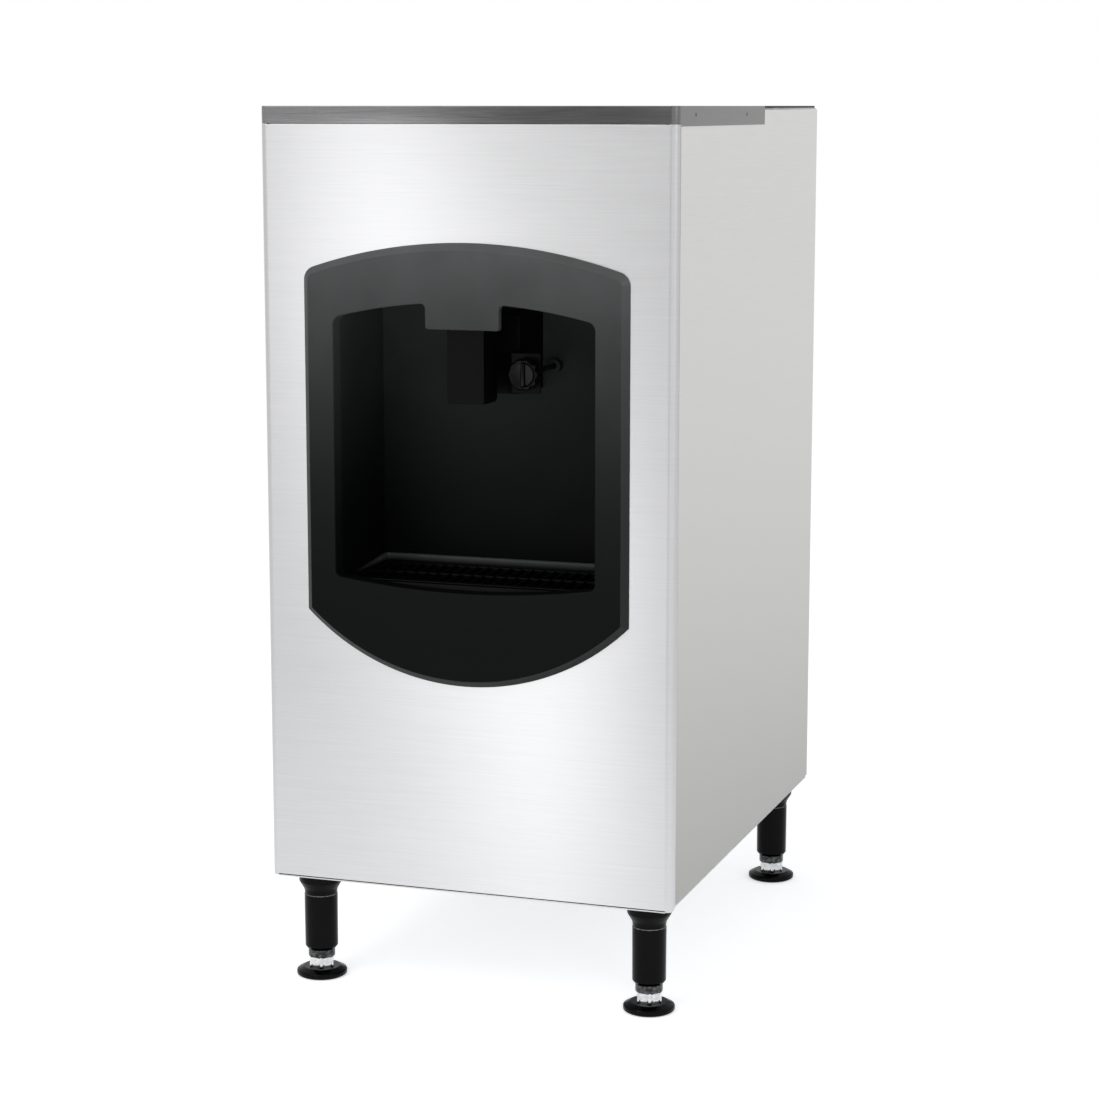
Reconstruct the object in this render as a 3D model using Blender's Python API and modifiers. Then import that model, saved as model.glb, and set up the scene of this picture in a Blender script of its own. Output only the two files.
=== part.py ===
"""Floor-standing ice dispenser: a stainless cabinet on four levelling legs, with an open-topped
ice bin, a lift wheel that carries ice up to a chute, and a black dispensing alcove with a push lever.

Metres, +Z up. The origin is on the floor under the middle of the cabinet. +X is to the right as
the user faces the front, and +Y goes to the back.
"""

import math

import bmesh
import bpy
from mathutils import Matrix, Vector

# Cabinet
CABINET_WIDTH = 0.560
CABINET_DEPTH = 0.745
TOTAL_HEIGHT = 1.170
LEG_HEIGHT = 0.150
SHEET = 0.0012
FRONT_CORNER_RADIUS = 0.010
FRONT_RETURN = 0.0027
FRONT_LOWER_RADIUS = 0.006
SIDE_INSET = 0.0015
SIDE_LIFT = 0.008
SIDE_FRONT_FLANGE = 0.010
TOP_FLANGE = 0.012
BOTTOM_FLANGE = 0.015

# Fits
CLEARANCE = 0.0003
OVERRUN = 0.010
RUNNING_GAP = 0.0003

# Top deck, gasket and trim
DECK_THICKNESS = 0.0015
GASKET_THICKNESS = 0.003
GASKET_INSET = 0.0015
TRIM_FRONT_HEIGHT = 0.022
TRIM_SIDE_HEIGHT = 0.025
TRIM_SIDE_LENGTH = 0.424

# Base pan and posts
PAN_LIFT = 0.0036
PAN_FLANGE = 0.020
LEG_PLATE_SIDE = 0.080
POST_WIDTH = 0.025
POST_THICKNESS = 0.002
LEG_SIDE_INSET = 0.047
LEG_FRONT_INSET = 0.055
LEG_REAR_INSET = 0.034

# Rear sheets: the panel, the louvred cover and the plate for the connections
LOUVRE_PROUD = 0.006
LOUVRE_WIDTH = 0.130
LOUVRE_HEIGHT = 0.012
LOUVRE_PITCH = 0.022
LOUVRE_LIFT = 0.1052
LOUVRE_SIDE_GAP = 0.040
LOUVRE_MARGIN = 0.010
LOUVRE_ROWS = 6

# Bezel
BEZEL_PROUD = 0.010
BEZEL_HALF_WIDTH = 0.220
BEZEL_APEX_DROP = 0.1705
BEZEL_SHOULDER_DROP = 0.208
BEZEL_LOWER_CORNER_DROP = 0.652
BEZEL_NADIR_DROP = 0.742
BEZEL_CORNER_RADIUS = 0.018
BEZEL_BEVEL = 0.0085
BEZEL_LAP = 0.012

# Opening inside the bezel, with the tab that hangs from its top edge
OPENING_HALF_WIDTH = 0.177
OPENING_APEX_DROP = 0.2457
OPENING_SHOULDER_DROP = 0.2679
OPENING_LOWER_CORNER_DROP = 0.620
OPENING_NADIR_DROP = 0.634
OPENING_CORNER_RADIUS = 0.012
OPENING_LOWER_RADIUS = 0.008
TAB_HALF_WIDTH = 0.050
TAB_DROP = 0.280
TAB_ROOT_RADIUS = 0.006
TAB_TIP_RADIUS = 0.004
COLLAR_WALL = 0.003
COLLAR_DEPTH = 0.014

# Alcove liner
ALCOVE_DEPTH = 0.168
ALCOVE_WALL = 0.003
ALCOVE_FLANGE = 0.018
ALCOVE_FLOOR_DROP = 0.670
LEVER_SLOT_HALF_WIDTH = 0.029
LEVER_SLOT_MARGIN = 0.002

# Drip sink and grille
SINK_RIM_DROP = 0.607
SINK_RIM_WIDTH = 0.008
SINK_RIM_DEPTH = 0.012
SINK_WALL = 0.0025
SINK_LEDGE = 0.006
SINK_FLOOR_LIFT = 0.003
SINK_CORNER_RADIUS = 0.010
GRILLE_THICKNESS = 0.008
GRILLE_DROP = 0.003
GRILLE_FRAME = 0.008
GRILLE_RIB = 0.0035
GRILLE_RIB_PITCH = 0.0157
GRILLE_CROSS_BAR = 0.006
DRAIN_RADIUS = 0.016
DRAIN_FLANGE_RADIUS = 0.024
DRAIN_FLANGE = 0.002
DRAIN_BORE = 0.011
DRAIN_TAIL = 0.034
SINK_DRAIN_FROM_BACK = 0.045

# Ice bin
BIN_SIDE_ROOM = 0.0357
BIN_WALL = 0.004
BIN_FOAM = 0.022
BIN_AIR_GAP = 0.005
TROUGH_FRONT_BEHIND_ALCOVE = 0.1295
SHELF_FRONT_DROP = 0.085
SHELF_REAR_DROP = 0.158
BIN_RIM_WIDTH = 0.014
BIN_DRAIN_FROM_BACK = 0.050

# Lift wheel and agitator
WHEEL_AXIS_DROP = 0.395
WHEEL_RIM_GAP = 0.008
WHEEL_WIDTH = 0.060
WHEEL_FRONT_GAP = 0.009
WHEEL_HUB_RADIUS = 0.030
WHEEL_HUB_EXTRA = 0.010
WHEEL_BLADES = 8
WHEEL_BLADE_THICKNESS = 0.006
WHEEL_BLADE_SWEEP_SHARE = 0.30
WHEEL_DISC_RADIUS = 0.110
WHEEL_DISC_THICKNESS = 0.005
SHAFT_RADIUS = 0.011
BOW_RADIUS = 0.150
BOW_ROD = 0.006
BOW_CORNER = 0.022
BOW_COUNT = 3
BOW_GAP = 0.012
BUSH_WALL = 0.008
BUSH_FLANGE_RADIUS = 0.030
BUSH_FLANGE = 0.003

# Gearmotor behind the alcove
BRACKET_HALF_WIDTH = 0.090
BRACKET_HEIGHT = 0.160
BRACKET_THICKNESS = 0.003
GEARBOX_WIDTH = 0.104
GEARBOX_HEIGHT = 0.110
GEARBOX_DEPTH = 0.060
GEARBOX_EDGE = 0.005
GEARBOX_BORE_DEPTH = 0.045
GEARBOX_FOOT = 0.013
GEARBOX_FOOT_HEIGHT = 0.012
MOTOR_RADIUS = 0.037
MOTOR_LENGTH = 0.120
MOTOR_CAP = 0.008
MOTOR_RIM = 0.003

# Ice chute and the hood over its mouth
CHUTE_HALF_WIDTH = 0.0415
CHUTE_WALL = 0.003
CHUTE_HEIGHT = 0.070
CHUTE_FOOT_DROP = 0.267
CHUTE_SLOPE_SHARE = 0.70
CHUTE_REACH = 0.012
HOOD_WALL = 0.003
HOOD_DEPTH = 0.092
HOOD_FOOT_DROP = 0.368
HOOD_TOP_DROP = 0.265
HOOD_EAR_FORWARD = 0.026
HOOD_EAR_HEIGHT = 0.052
HOOD_EAR_WIDTH = 0.040
HOOD_SIDE_GAP = 0.0005
KNOB_X = 0.067
KNOB_DROP = 0.338
KNOB_RADIUS = 0.021
KNOB_LENGTH = 0.020
KNOB_NECK = 0.004
KNOB_EDGE = 0.003
KNOB_GRIP = 0.005
KNOB_STEM_RADIUS = 0.004
KNOB_BOSS_RADIUS = 0.009
KNOB_BOSS_LENGTH = 0.014

# Push lever, its pin, spring, bracket and switch
LEVER_WIDTH = 0.050
LEVER_DEPTH = 0.050
LEVER_WALL = 0.002
LEVER_RECESS = 0.0035
LEVER_FOOT_DROP = 0.375
LEVER_TOP_DROP = 0.250
LEVER_ARM_FRONT = 0.014
LEVER_ARM_DEPTH = 0.024
LEVER_TOE_RADIUS = 0.008
PIVOT_DROP = 0.215
PIVOT_RADIUS = 0.003
PIVOT_EYE_RADIUS = 0.008
CROSSBAR_DROP = 0.232
CROSSBAR_HEIGHT = 0.008
CROSSBAR_THICKNESS = 0.004
EAR_GAP = 0.007
EAR_THICKNESS = 0.002
EAR_WIDTH = 0.026
EAR_FOOT = 0.026
EAR_TOP = 0.012
PIN_END = 0.002
SPRING_WIRE = 0.0007
SPRING_TURNS = 5
SPRING_PITCH = 0.0022
SPRING_LEG = 0.008
SWITCH_WIDTH = 0.028
SWITCH_HEIGHT = 0.0108
SWITCH_DEPTH = 0.016
SWITCH_STAND_OFF = 0.005
PLUNGER_RADIUS = 0.0015
PLUNGER_LENGTH = 0.009
PLUNGER_BORE_DEPTH = 0.009

# Legs
SLEEVE_TOP_RADIUS = 0.029
SLEEVE_RADIUS = 0.0215
SLEEVE_COLLAR = 0.015
SLEEVE_FLARE = 0.027
SLEEVE_FOOT = 0.038
SLEEVE_CHAMFER = 0.003
SLEEVE_BORE_DEPTH = 0.060
STEM_ACROSS_FLATS = 0.032
STEM_THREAD_RADIUS = 0.009
STEM_THREAD_LENGTH = 0.045
STEM_SPIGOT_RADIUS = 0.008
STEM_SPIGOT_LENGTH = 0.005
PAD_RADIUS = 0.0345
PAD_THICKNESS = 0.010
PAD_CROWN_RADIUS = 0.022
PAD_CROWN = 0.003

# Drains, control box and power inlet
HOSE_RADIUS = 0.009
OUTLET_RADIUS = 0.013
OUTLET_FLANGE_RADIUS = 0.022
OUTLET_FLANGE = 0.003
OUTLET_INSIDE = 0.030
OUTLET_LIFT = 0.070
OUTLET_SPACING = 0.070
OUTLET_FROM_SIDE = 0.107
HOSE_BEND = 0.060
CONTROL_WIDTH = 0.170
CONTROL_DEPTH = 0.090
CONTROL_HEIGHT = 0.130
CONTROL_WALL = 0.0015
CONTROL_FROM_SIDE = 0.137
CONTROL_BEHIND_FRONT = 0.120
CONTROL_LID = 0.012
INLET_WIDTH = 0.050
INLET_HEIGHT = 0.032
INLET_FLANGE = 0.003
INLET_BODY = 0.025
INLET_LIP = 0.005
INLET_RECESS = 0.018
INLET_FROM_SIDE = 0.107
INLET_LIFT = 0.070

# Counts of flats on round work, and points along arcs
ROUND_SIDES = 28
SMALL_SIDES = 16
LEG_SIDES = 24
TROUGH_STEPS = 28
TOP_ARC_STEPS = 24
LOWER_ARC_STEPS = 20
CORNER_STEPS = 5
HOSE_STEPS = 16
BLADE_STEPS = 5
COIL_STEPS = 10
MERGE = 0.00001

# Worked out from the sizes above
FRONT = BEZEL_PROUD - (CABINET_DEPTH + BEZEL_PROUD) / 2
REAR = (CABINET_DEPTH + BEZEL_PROUD) / 2
REAR_FACE = REAR - LOUVRE_PROUD
HALF_WIDTH = CABINET_WIDTH / 2
SIDE_FACE = HALF_WIDTH - SIDE_INSET
SIDE_INNER = SIDE_FACE - SHEET - CLEARANCE
SIDE_START = FRONT + FRONT_CORNER_RADIUS + FRONT_RETURN + CLEARANCE
TOP = TOTAL_HEIGHT
DECK_TOP = TOP - GASKET_THICKNESS - CLEARANCE
DECK_UNDERSIDE = DECK_TOP - DECK_THICKNESS
WALL_TOP = DECK_UNDERSIDE - CLEARANCE
PAN_UNDERSIDE = LEG_HEIGHT + PAN_LIFT
PAN_TOP = PAN_UNDERSIDE + SHEET
PAN_HALF_WIDTH = SIDE_INNER
PAN_FRONT = SIDE_START + SHEET + CLEARANCE
PAN_REAR = REAR_FACE - SHEET - CLEARANCE
LOUVRE_FOOT = PAN_TOP + LOUVRE_LIFT
LOUVRE_HEAD = LOUVRE_FOOT + (LOUVRE_ROWS - 1) * LOUVRE_PITCH + LOUVRE_HEIGHT
ALCOVE_BACK = FRONT + ALCOVE_DEPTH
ALCOVE_HALF_WIDTH = OPENING_HALF_WIDTH + COLLAR_WALL + CLEARANCE
ALCOVE_CEILING = TOP - OPENING_APEX_DROP + COLLAR_WALL + CLEARANCE
ALCOVE_FLOOR = TOP - ALCOVE_FLOOR_DROP
LINER_FRONT = FRONT + SHEET + CLEARANCE
COLLAR_END = FRONT + COLLAR_DEPTH
SINK_FRONT = COLLAR_END + CLEARANCE
SINK_REAR = ALCOVE_BACK - CLEARANCE
SINK_RIM = TOP - SINK_RIM_DROP
SINK_HALF_WIDTH = ALCOVE_HALF_WIDTH - CLEARANCE
SINK_FOOT = ALCOVE_FLOOR + CLEARANCE
DRAIN_Y = SINK_REAR - SINK_DRAIN_FROM_BACK
BIN_HALF_WIDTH = SIDE_INNER - BIN_SIDE_ROOM - BIN_FOAM - CLEARANCE - BIN_WALL
WHEEL_RADIUS = BIN_HALF_WIDTH - WHEEL_RIM_GAP
WHEEL_AXIS = TOP - WHEEL_AXIS_DROP
TROUGH_FRONT = ALCOVE_BACK + TROUGH_FRONT_BEHIND_ALCOVE
TROUGH_REAR = REAR_FACE - SHEET - BIN_AIR_GAP - BIN_FOAM - CLEARANCE - BIN_WALL
SHELF_FRONT = FRONT + SHEET + BIN_AIR_GAP + BIN_FOAM + CLEARANCE + BIN_WALL
FOAM_FACE = TROUGH_FRONT - BIN_WALL - CLEARANCE - BIN_FOAM
WHEEL_FRONT = TROUGH_FRONT + WHEEL_FRONT_GAP
WHEEL_REAR = WHEEL_FRONT + WHEEL_WIDTH
BRACKET_REAR = FOAM_FACE - CLEARANCE
BRACKET_FRONT = BRACKET_REAR - BRACKET_THICKNESS
GEARBOX_REAR = BRACKET_FRONT - CLEARANCE
GEARBOX_FRONT = GEARBOX_REAR - GEARBOX_DEPTH
CHUTE_FOOT = TOP - CHUTE_FOOT_DROP
CHUTE_REAR = TROUGH_FRONT - BIN_WALL - CLEARANCE
CHUTE_FRONT = ALCOVE_BACK - CHUTE_REACH
CHUTE_OUTER = CHUTE_HALF_WIDTH + CHUTE_WALL
HOOD_INNER = CHUTE_OUTER + HOOD_SIDE_GAP
HOOD_OUTER = HOOD_INNER + HOOD_WALL
HOOD_REAR = ALCOVE_BACK - CLEARANCE
HOOD_FRONT = HOOD_REAR - HOOD_DEPTH
EAR_FACE = HOOD_FRONT - HOOD_EAR_FORWARD
KNOB_Z = TOP - KNOB_DROP
PIVOT_Z = TOP - PIVOT_DROP
LEVER_FACE = FRONT + LEVER_RECESS
ARM_FRONT = LEVER_FACE + LEVER_ARM_FRONT
ARM_REAR = ARM_FRONT + LEVER_ARM_DEPTH
PIVOT_Y = (ARM_FRONT + ARM_REAR) / 2
SPRING_RADIUS = PIVOT_RADIUS + 2 * CLEARANCE + SPRING_WIRE
CROSSBAR_Z = TOP - CROSSBAR_DROP
BRACKET_FLOOR = ALCOVE_CEILING + ALCOVE_WALL + CLEARANCE
EAR_INNER = LEVER_WIDTH / 2 + EAR_GAP
SWITCH_FRONT = ARM_REAR + SWITCH_STAND_OFF
SWITCH_FOOT = BRACKET_FLOOR + EAR_THICKNESS + CLEARANCE
LEG_X = HALF_WIDTH - LEG_SIDE_INSET
LEG_FRONT_Y = FRONT + LEG_FRONT_INSET
LEG_REAR_Y = REAR_FACE - LEG_REAR_INSET
OUTLET_X = SIDE_INNER - OUTLET_FROM_SIDE
OUTLET_Z = PAN_TOP + OUTLET_LIFT
INLET_X = SIDE_INNER - INLET_FROM_SIDE
CONTROL_X = SIDE_INNER - CONTROL_FROM_SIDE

# Colour, roughness and metallic value of each finish
FINISHES = {
    "satin_steel": ((0.78, 0.78, 0.77), 0.32, 1.0),
    "dark_trim": ((0.30, 0.30, 0.31), 0.38, 1.0),
    "galvanised": ((0.56, 0.57, 0.58), 0.50, 1.0),
    "black_abs": ((0.012, 0.013, 0.013), 0.42, 0.0),
    "black_polyester": ((0.02, 0.02, 0.02), 0.35, 0.0),
    "white_liner": ((0.80, 0.82, 0.82), 0.40, 0.0),
    "foam": ((0.72, 0.66, 0.48), 0.90, 0.0),
    "gasket": ((0.02, 0.02, 0.02), 0.85, 0.0),
    "polished_steel": ((0.80, 0.80, 0.80), 0.12, 1.0),
    "brass": ((0.72, 0.55, 0.27), 0.30, 1.0),
    "grey_casting": ((0.25, 0.27, 0.29), 0.55, 0.6),
    "pale_hose": ((0.62, 0.64, 0.64), 0.45, 0.0),
    "white_nylon": ((0.75, 0.75, 0.72), 0.40, 0.0),
}


def start():
    """Clears the scene and makes one collection for the parts and one for the cutters."""
    for obj in list(bpy.data.objects):
        bpy.data.objects.remove(obj, do_unlink=True)
    parts = bpy.data.collections.new("ice_dispenser")
    cutters = bpy.data.collections.new("cutters")
    bpy.context.scene.collection.children.link(parts)
    bpy.context.scene.collection.children.link(cutters)
    return parts, cutters


PARTS, CUTTERS = start()


def new_object(name, shape):
    """Turns a bmesh into an object in the parts collection."""
    mesh = bpy.data.meshes.new(name)
    bmesh.ops.recalc_face_normals(shape, faces=shape.faces)
    shape.to_mesh(mesh)
    shape.free()
    obj = bpy.data.objects.new(name, mesh)
    PARTS.objects.link(obj)
    return obj


def finish(obj, look, smooth=True):
    """Gives a piece its own material, and smooth shading that keeps its real edges sharp."""
    colour, roughness, metallic = FINISHES[look]
    material = bpy.data.materials.new(f"{obj.name}_{look}")
    material.use_nodes = True
    shader = material.node_tree.nodes["Principled BSDF"]
    shader.inputs["Base Color"].default_value = (*colour, 1)
    shader.inputs["Roughness"].default_value = roughness
    shader.inputs["Metallic"].default_value = metallic
    obj.data.materials.clear()
    obj.data.materials.append(material)
    if smooth:
        obj.data.shade_smooth()
        obj.data.set_sharp_from_angle(angle=math.radians(35))
    return obj


def box(name, low, high):
    """A block between two corners."""
    low = Vector(low)
    high = Vector(high)
    place = Matrix.Translation((low + high) / 2) @ Matrix.Diagonal((*(high - low), 1))
    shape = bmesh.new()
    bmesh.ops.create_cube(shape, size=1, matrix=place)
    return new_object(name, shape)


def rod(name, radius, begin, end, sides=ROUND_SIDES, end_radius=None):
    """A cylinder between two points, or a cone if its end has another radius."""
    begin = Vector(begin)
    end = Vector(end)
    run = end - begin
    turn = run.to_track_quat("Z", "Y").to_matrix().to_4x4()
    far = radius if end_radius is None else end_radius
    shape = bmesh.new()
    bmesh.ops.create_cone(
        shape,
        cap_ends=True,
        segments=sides,
        radius1=radius,
        radius2=far,
        depth=run.length,
        matrix=Matrix.Translation((begin + end) / 2) @ turn,
    )
    return new_object(name, shape)


def made_mesh(curve_object):
    """Replaces a curve by its mesh, with the caps joined to the sides."""
    bpy.context.view_layer.update()
    graph = bpy.context.evaluated_depsgraph_get()
    mesh = bpy.data.meshes.new_from_object(curve_object.evaluated_get(graph))
    mesh.transform(curve_object.matrix_world)
    name = curve_object.name
    bpy.data.objects.remove(curve_object, do_unlink=True)
    shape = bmesh.new()
    shape.from_mesh(mesh)
    bmesh.ops.remove_doubles(shape, verts=shape.verts, dist=MERGE)
    bpy.data.meshes.remove(mesh)
    return new_object(name, shape)


# Which world axis each of an outline's own axes runs along, for the three planes it may lie in
PLANES = {
    "XY": Matrix(((1, 0, 0, 0), (0, 1, 0, 0), (0, 0, 1, 0), (0, 0, 0, 1))),
    "XZ": Matrix(((1, 0, 0, 0), (0, 0, -1, 0), (0, 1, 0, 0), (0, 0, 0, 1))),
    "YZ": Matrix(((0, 0, 1, 0), (1, 0, 0, 0), (0, 1, 0, 0), (0, 0, 0, 1))),
}
ACROSS = {"XY": Vector((0, 0, 1)), "XZ": Vector((0, 1, 0)), "YZ": Vector((1, 0, 0))}


def slab(name, outlines, plane, begin, end):
    """A flat outline, with any holes, carried from one place to another across its plane."""
    curve = bpy.data.curves.new(name, "CURVE")
    curve.dimensions = "2D"
    curve.fill_mode = "BOTH"
    curve.extrude = (end - begin) / 2
    for outline in outlines:
        spline = curve.splines.new("POLY")
        spline.points.add(len(outline) - 1)
        for point, (u, v) in zip(spline.points, outline):
            point.co = (u, v, 0, 1)
        spline.use_cyclic_u = True
    obj = bpy.data.objects.new(name, curve)
    PARTS.objects.link(obj)
    obj.matrix_world = Matrix.Translation(ACROSS[plane] * (begin + end) / 2) @ PLANES[plane]
    return made_mesh(obj)


def tube(name, points, radius, resolution=2):
    """A round rod along a path of points."""
    curve = bpy.data.curves.new(name, "CURVE")
    curve.dimensions = "3D"
    curve.bevel_depth = radius
    curve.bevel_resolution = resolution
    curve.use_fill_caps = True
    spline = curve.splines.new("POLY")
    spline.points.add(len(points) - 1)
    for point, place in zip(spline.points, points):
        point.co = (*place, 1)
    obj = bpy.data.objects.new(name, curve)
    PARTS.objects.link(obj)
    return made_mesh(obj)


def turned(name, profile, centre, axis="Z", sides=ROUND_SIDES):
    """A turned piece: a profile of (radius, height) from its top to its bottom, screwed round."""
    shape = bmesh.new()
    rail = [shape.verts.new((radius, 0, height)) for radius, height in profile]
    for upper, lower in zip(rail, rail[1:]):
        shape.edges.new((upper, lower))
    mesh = bpy.data.meshes.new(name)
    shape.to_mesh(mesh)
    shape.free()
    obj = bpy.data.objects.new(name, mesh)
    PARTS.objects.link(obj)
    obj.location = centre
    if axis == "Y":
        obj.rotation_euler = (math.radians(90), 0, 0)
    if axis == "X":
        obj.rotation_euler = (0, math.radians(90), 0)
    screw = obj.modifiers.new("turn", "SCREW")
    screw.steps = sides
    screw.render_steps = sides
    screw.use_merge_vertices = True
    screw.merge_threshold = MERGE
    screw.use_smooth_shade = True
    return obj


def folded_sheet(name, path, foot, top):
    """Sheet metal bent along a path seen from above. The path keeps the outside on its right."""
    shape = bmesh.new()
    rail = [shape.verts.new((x, y, foot)) for x, y in path]
    edges = [shape.edges.new(pair) for pair in zip(rail, rail[1:])]
    raised = bmesh.ops.extrude_edge_only(shape, edges=edges)["geom"]
    corners = [part for part in raised if isinstance(part, bmesh.types.BMVert)]
    bmesh.ops.translate(shape, verts=corners, vec=(0, 0, top - foot))
    shape.normal_update()
    run = rail[1].co - rail[0].co
    if edges[0].link_faces[0].normal.dot(Vector((run.y, -run.x, 0))) < 0:
        bmesh.ops.reverse_faces(shape, faces=shape.faces)
    mesh = bpy.data.meshes.new(name)
    shape.to_mesh(mesh)
    shape.free()
    obj = bpy.data.objects.new(name, mesh)
    PARTS.objects.link(obj)
    wall = obj.modifiers.new("sheet", "SOLIDIFY")
    wall.thickness = SHEET
    wall.offset = -1
    wall.use_even_offset = True
    return obj


def boolean(obj, other, operation):
    """Adds an exact Boolean, and puts the other object away with the cutters."""
    modifier = obj.modifiers.new(other.name, "BOOLEAN")
    modifier.operation = operation
    modifier.solver = "EXACT"
    modifier.object = other
    other.hide_render = True
    other.display_type = "WIRE"
    if other.name in PARTS.objects:
        PARTS.objects.unlink(other)
        CUTTERS.objects.link(other)


def cut(obj, *cutters):
    for cutter in cutters:
        boolean(obj, cutter, "DIFFERENCE")


def join(obj, *others):
    for other in others:
        boolean(obj, other, "UNION")


def hang_on(joint, *pieces):
    """Parents pieces to the empty on their joint's axis, without moving them."""
    bpy.context.view_layer.update()
    for piece in pieces:
        place = piece.matrix_world.copy()
        piece.parent = joint
        piece.matrix_parent_inverse = joint.matrix_world.inverted()
        piece.matrix_world = place


def pivot(name, place):
    """An empty on a joint's axis."""
    empty = bpy.data.objects.new(name, None)
    PARTS.objects.link(empty)
    empty.location = place
    return empty


def arc(centre, radius, begin, end, steps):
    """Points on an arc, with both ends, between two angles in radians."""
    turns = [begin + (end - begin) * step / steps for step in range(steps + 1)]
    return [(centre[0] + radius * math.cos(a), centre[1] + radius * math.sin(a)) for a in turns]


def bow(half_width, ends, middle, steps):
    """An arc from the left end to the right end at one height, through a middle height."""
    rise = middle - ends
    radius = (half_width**2 + rise**2) / (2 * abs(rise))
    sign = math.copysign(1, rise)
    reach = math.asin(half_width / radius)
    turns = [reach * (2 * step / steps - 1) for step in range(steps + 1)]
    return [(radius * math.sin(a), middle - sign * radius * (1 - math.cos(a))) for a in turns]


def rounded(corners, steps=CORNER_STEPS):
    """A closed outline of (x, y, radius) corners, with an arc at each corner that has a radius."""
    outline = []
    for i, (x, y, radius) in enumerate(corners):
        corner = Vector((x, y))
        if not radius:
            outline.append((x, y))
            continue
        before = Vector(corners[i - 1][:2]) - corner
        after = Vector(corners[(i + 1) % len(corners)][:2]) - corner
        half = before.angle(after) / 2
        run = min(radius / math.tan(half), before.length / 2, after.length / 2)
        true_radius = run * math.tan(half)
        middle = corner + (before.normalized() + after.normalized()).normalized() * (
            true_radius / math.sin(half)
        )
        first = corner + before.normalized() * run - middle
        last = corner + after.normalized() * run - middle
        sweep = first.angle_signed(last)
        for step in range(steps + 1):
            turn = -sweep * step / steps
            c, s = math.cos(turn), math.sin(turn)
            outline.append(
                (middle.x + first.x * c - first.y * s, middle.y + first.x * s + first.y * c)
            )
    return outline


def grown(outline, by):
    """The outline moved outwards by a distance, or inwards where it is negative."""
    area = sum(
        a[0] * b[1] - b[0] * a[1] for a, b in zip(outline, outline[1:] + outline[:1])
    )
    side = math.copysign(1, area)
    result = []
    for i, here in enumerate(outline):
        before = Vector(here) - Vector(outline[i - 1])
        after = Vector(outline[(i + 1) % len(outline)]) - Vector(here)
        first = Vector((before.y, -before.x)).normalized()
        second = Vector((after.y, -after.x)).normalized()
        out = first + second
        out = out / (1 + first.dot(second))
        result.append((here[0] + side * by * out.x, here[1] + side * by * out.y))
    return result


def rectangle(low_u, low_v, high_u, high_v, radius=0):
    """A rectangular outline, with rounded corners if asked."""
    corners = ((low_u, low_v), (high_u, low_v), (high_u, high_v), (low_u, high_v))
    return rounded([(u, v, radius) for u, v in corners])


def bezel_outline():
    """The tombstone: straight sides, an arched top and a bowed bottom that meets them sharply."""
    half = BEZEL_HALF_WIDTH
    top = bow(half, TOP - BEZEL_SHOULDER_DROP, TOP - BEZEL_APEX_DROP, TOP_ARC_STEPS)
    foot = bow(half, TOP - BEZEL_LOWER_CORNER_DROP, TOP - BEZEL_NADIR_DROP, LOWER_ARC_STEPS)
    corners = [(x, z, 0) for x, z in foot]
    corners += [(x, z, 0) for x, z in reversed(top)]
    for i in (len(foot), len(corners) - 1):
        corners[i] = (*corners[i][:2], BEZEL_CORNER_RADIUS)
    return rounded(corners)


def opening_outline(with_tab):
    """The opening in the bezel: arched top, bowed sill and, if asked, the tab at the top."""
    half = OPENING_HALF_WIDTH
    shoulder = TOP - OPENING_SHOULDER_DROP
    top = bow(half, shoulder, TOP - OPENING_APEX_DROP, TOP_ARC_STEPS)
    foot = bow(half, TOP - OPENING_LOWER_CORNER_DROP, TOP - OPENING_NADIR_DROP, LOWER_ARC_STEPS)
    corners = [(x, z, 0) for x, z in foot]
    corners[0] = (*foot[0], OPENING_LOWER_RADIUS)
    corners[-1] = (*foot[-1], OPENING_LOWER_RADIUS)
    arch = [(x, z, 0) for x, z in reversed(top)]
    arch[0] = (*arch[0][:2], OPENING_CORNER_RADIUS)
    arch[-1] = (*arch[-1][:2], OPENING_CORNER_RADIUS)
    if not with_tab:
        return rounded(corners + arch)
    rise = TOP - OPENING_APEX_DROP - shoulder
    radius = (half**2 + rise**2) / (2 * rise)
    root = TOP - OPENING_APEX_DROP - radius + math.sqrt(radius**2 - TAB_HALF_WIDTH**2)
    clear = TAB_HALF_WIDTH + 2 * TAB_ROOT_RADIUS
    tab = [
        (TAB_HALF_WIDTH, root, TAB_ROOT_RADIUS),
        (TAB_HALF_WIDTH, TOP - TAB_DROP, TAB_TIP_RADIUS),
        (-TAB_HALF_WIDTH, TOP - TAB_DROP, TAB_TIP_RADIUS),
        (-TAB_HALF_WIDTH, root, TAB_ROOT_RADIUS),
    ]
    right = [corner for corner in arch if corner[0] > clear]
    left = [corner for corner in arch if corner[0] < -clear]
    return rounded(corners + right + tab + left)


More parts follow.
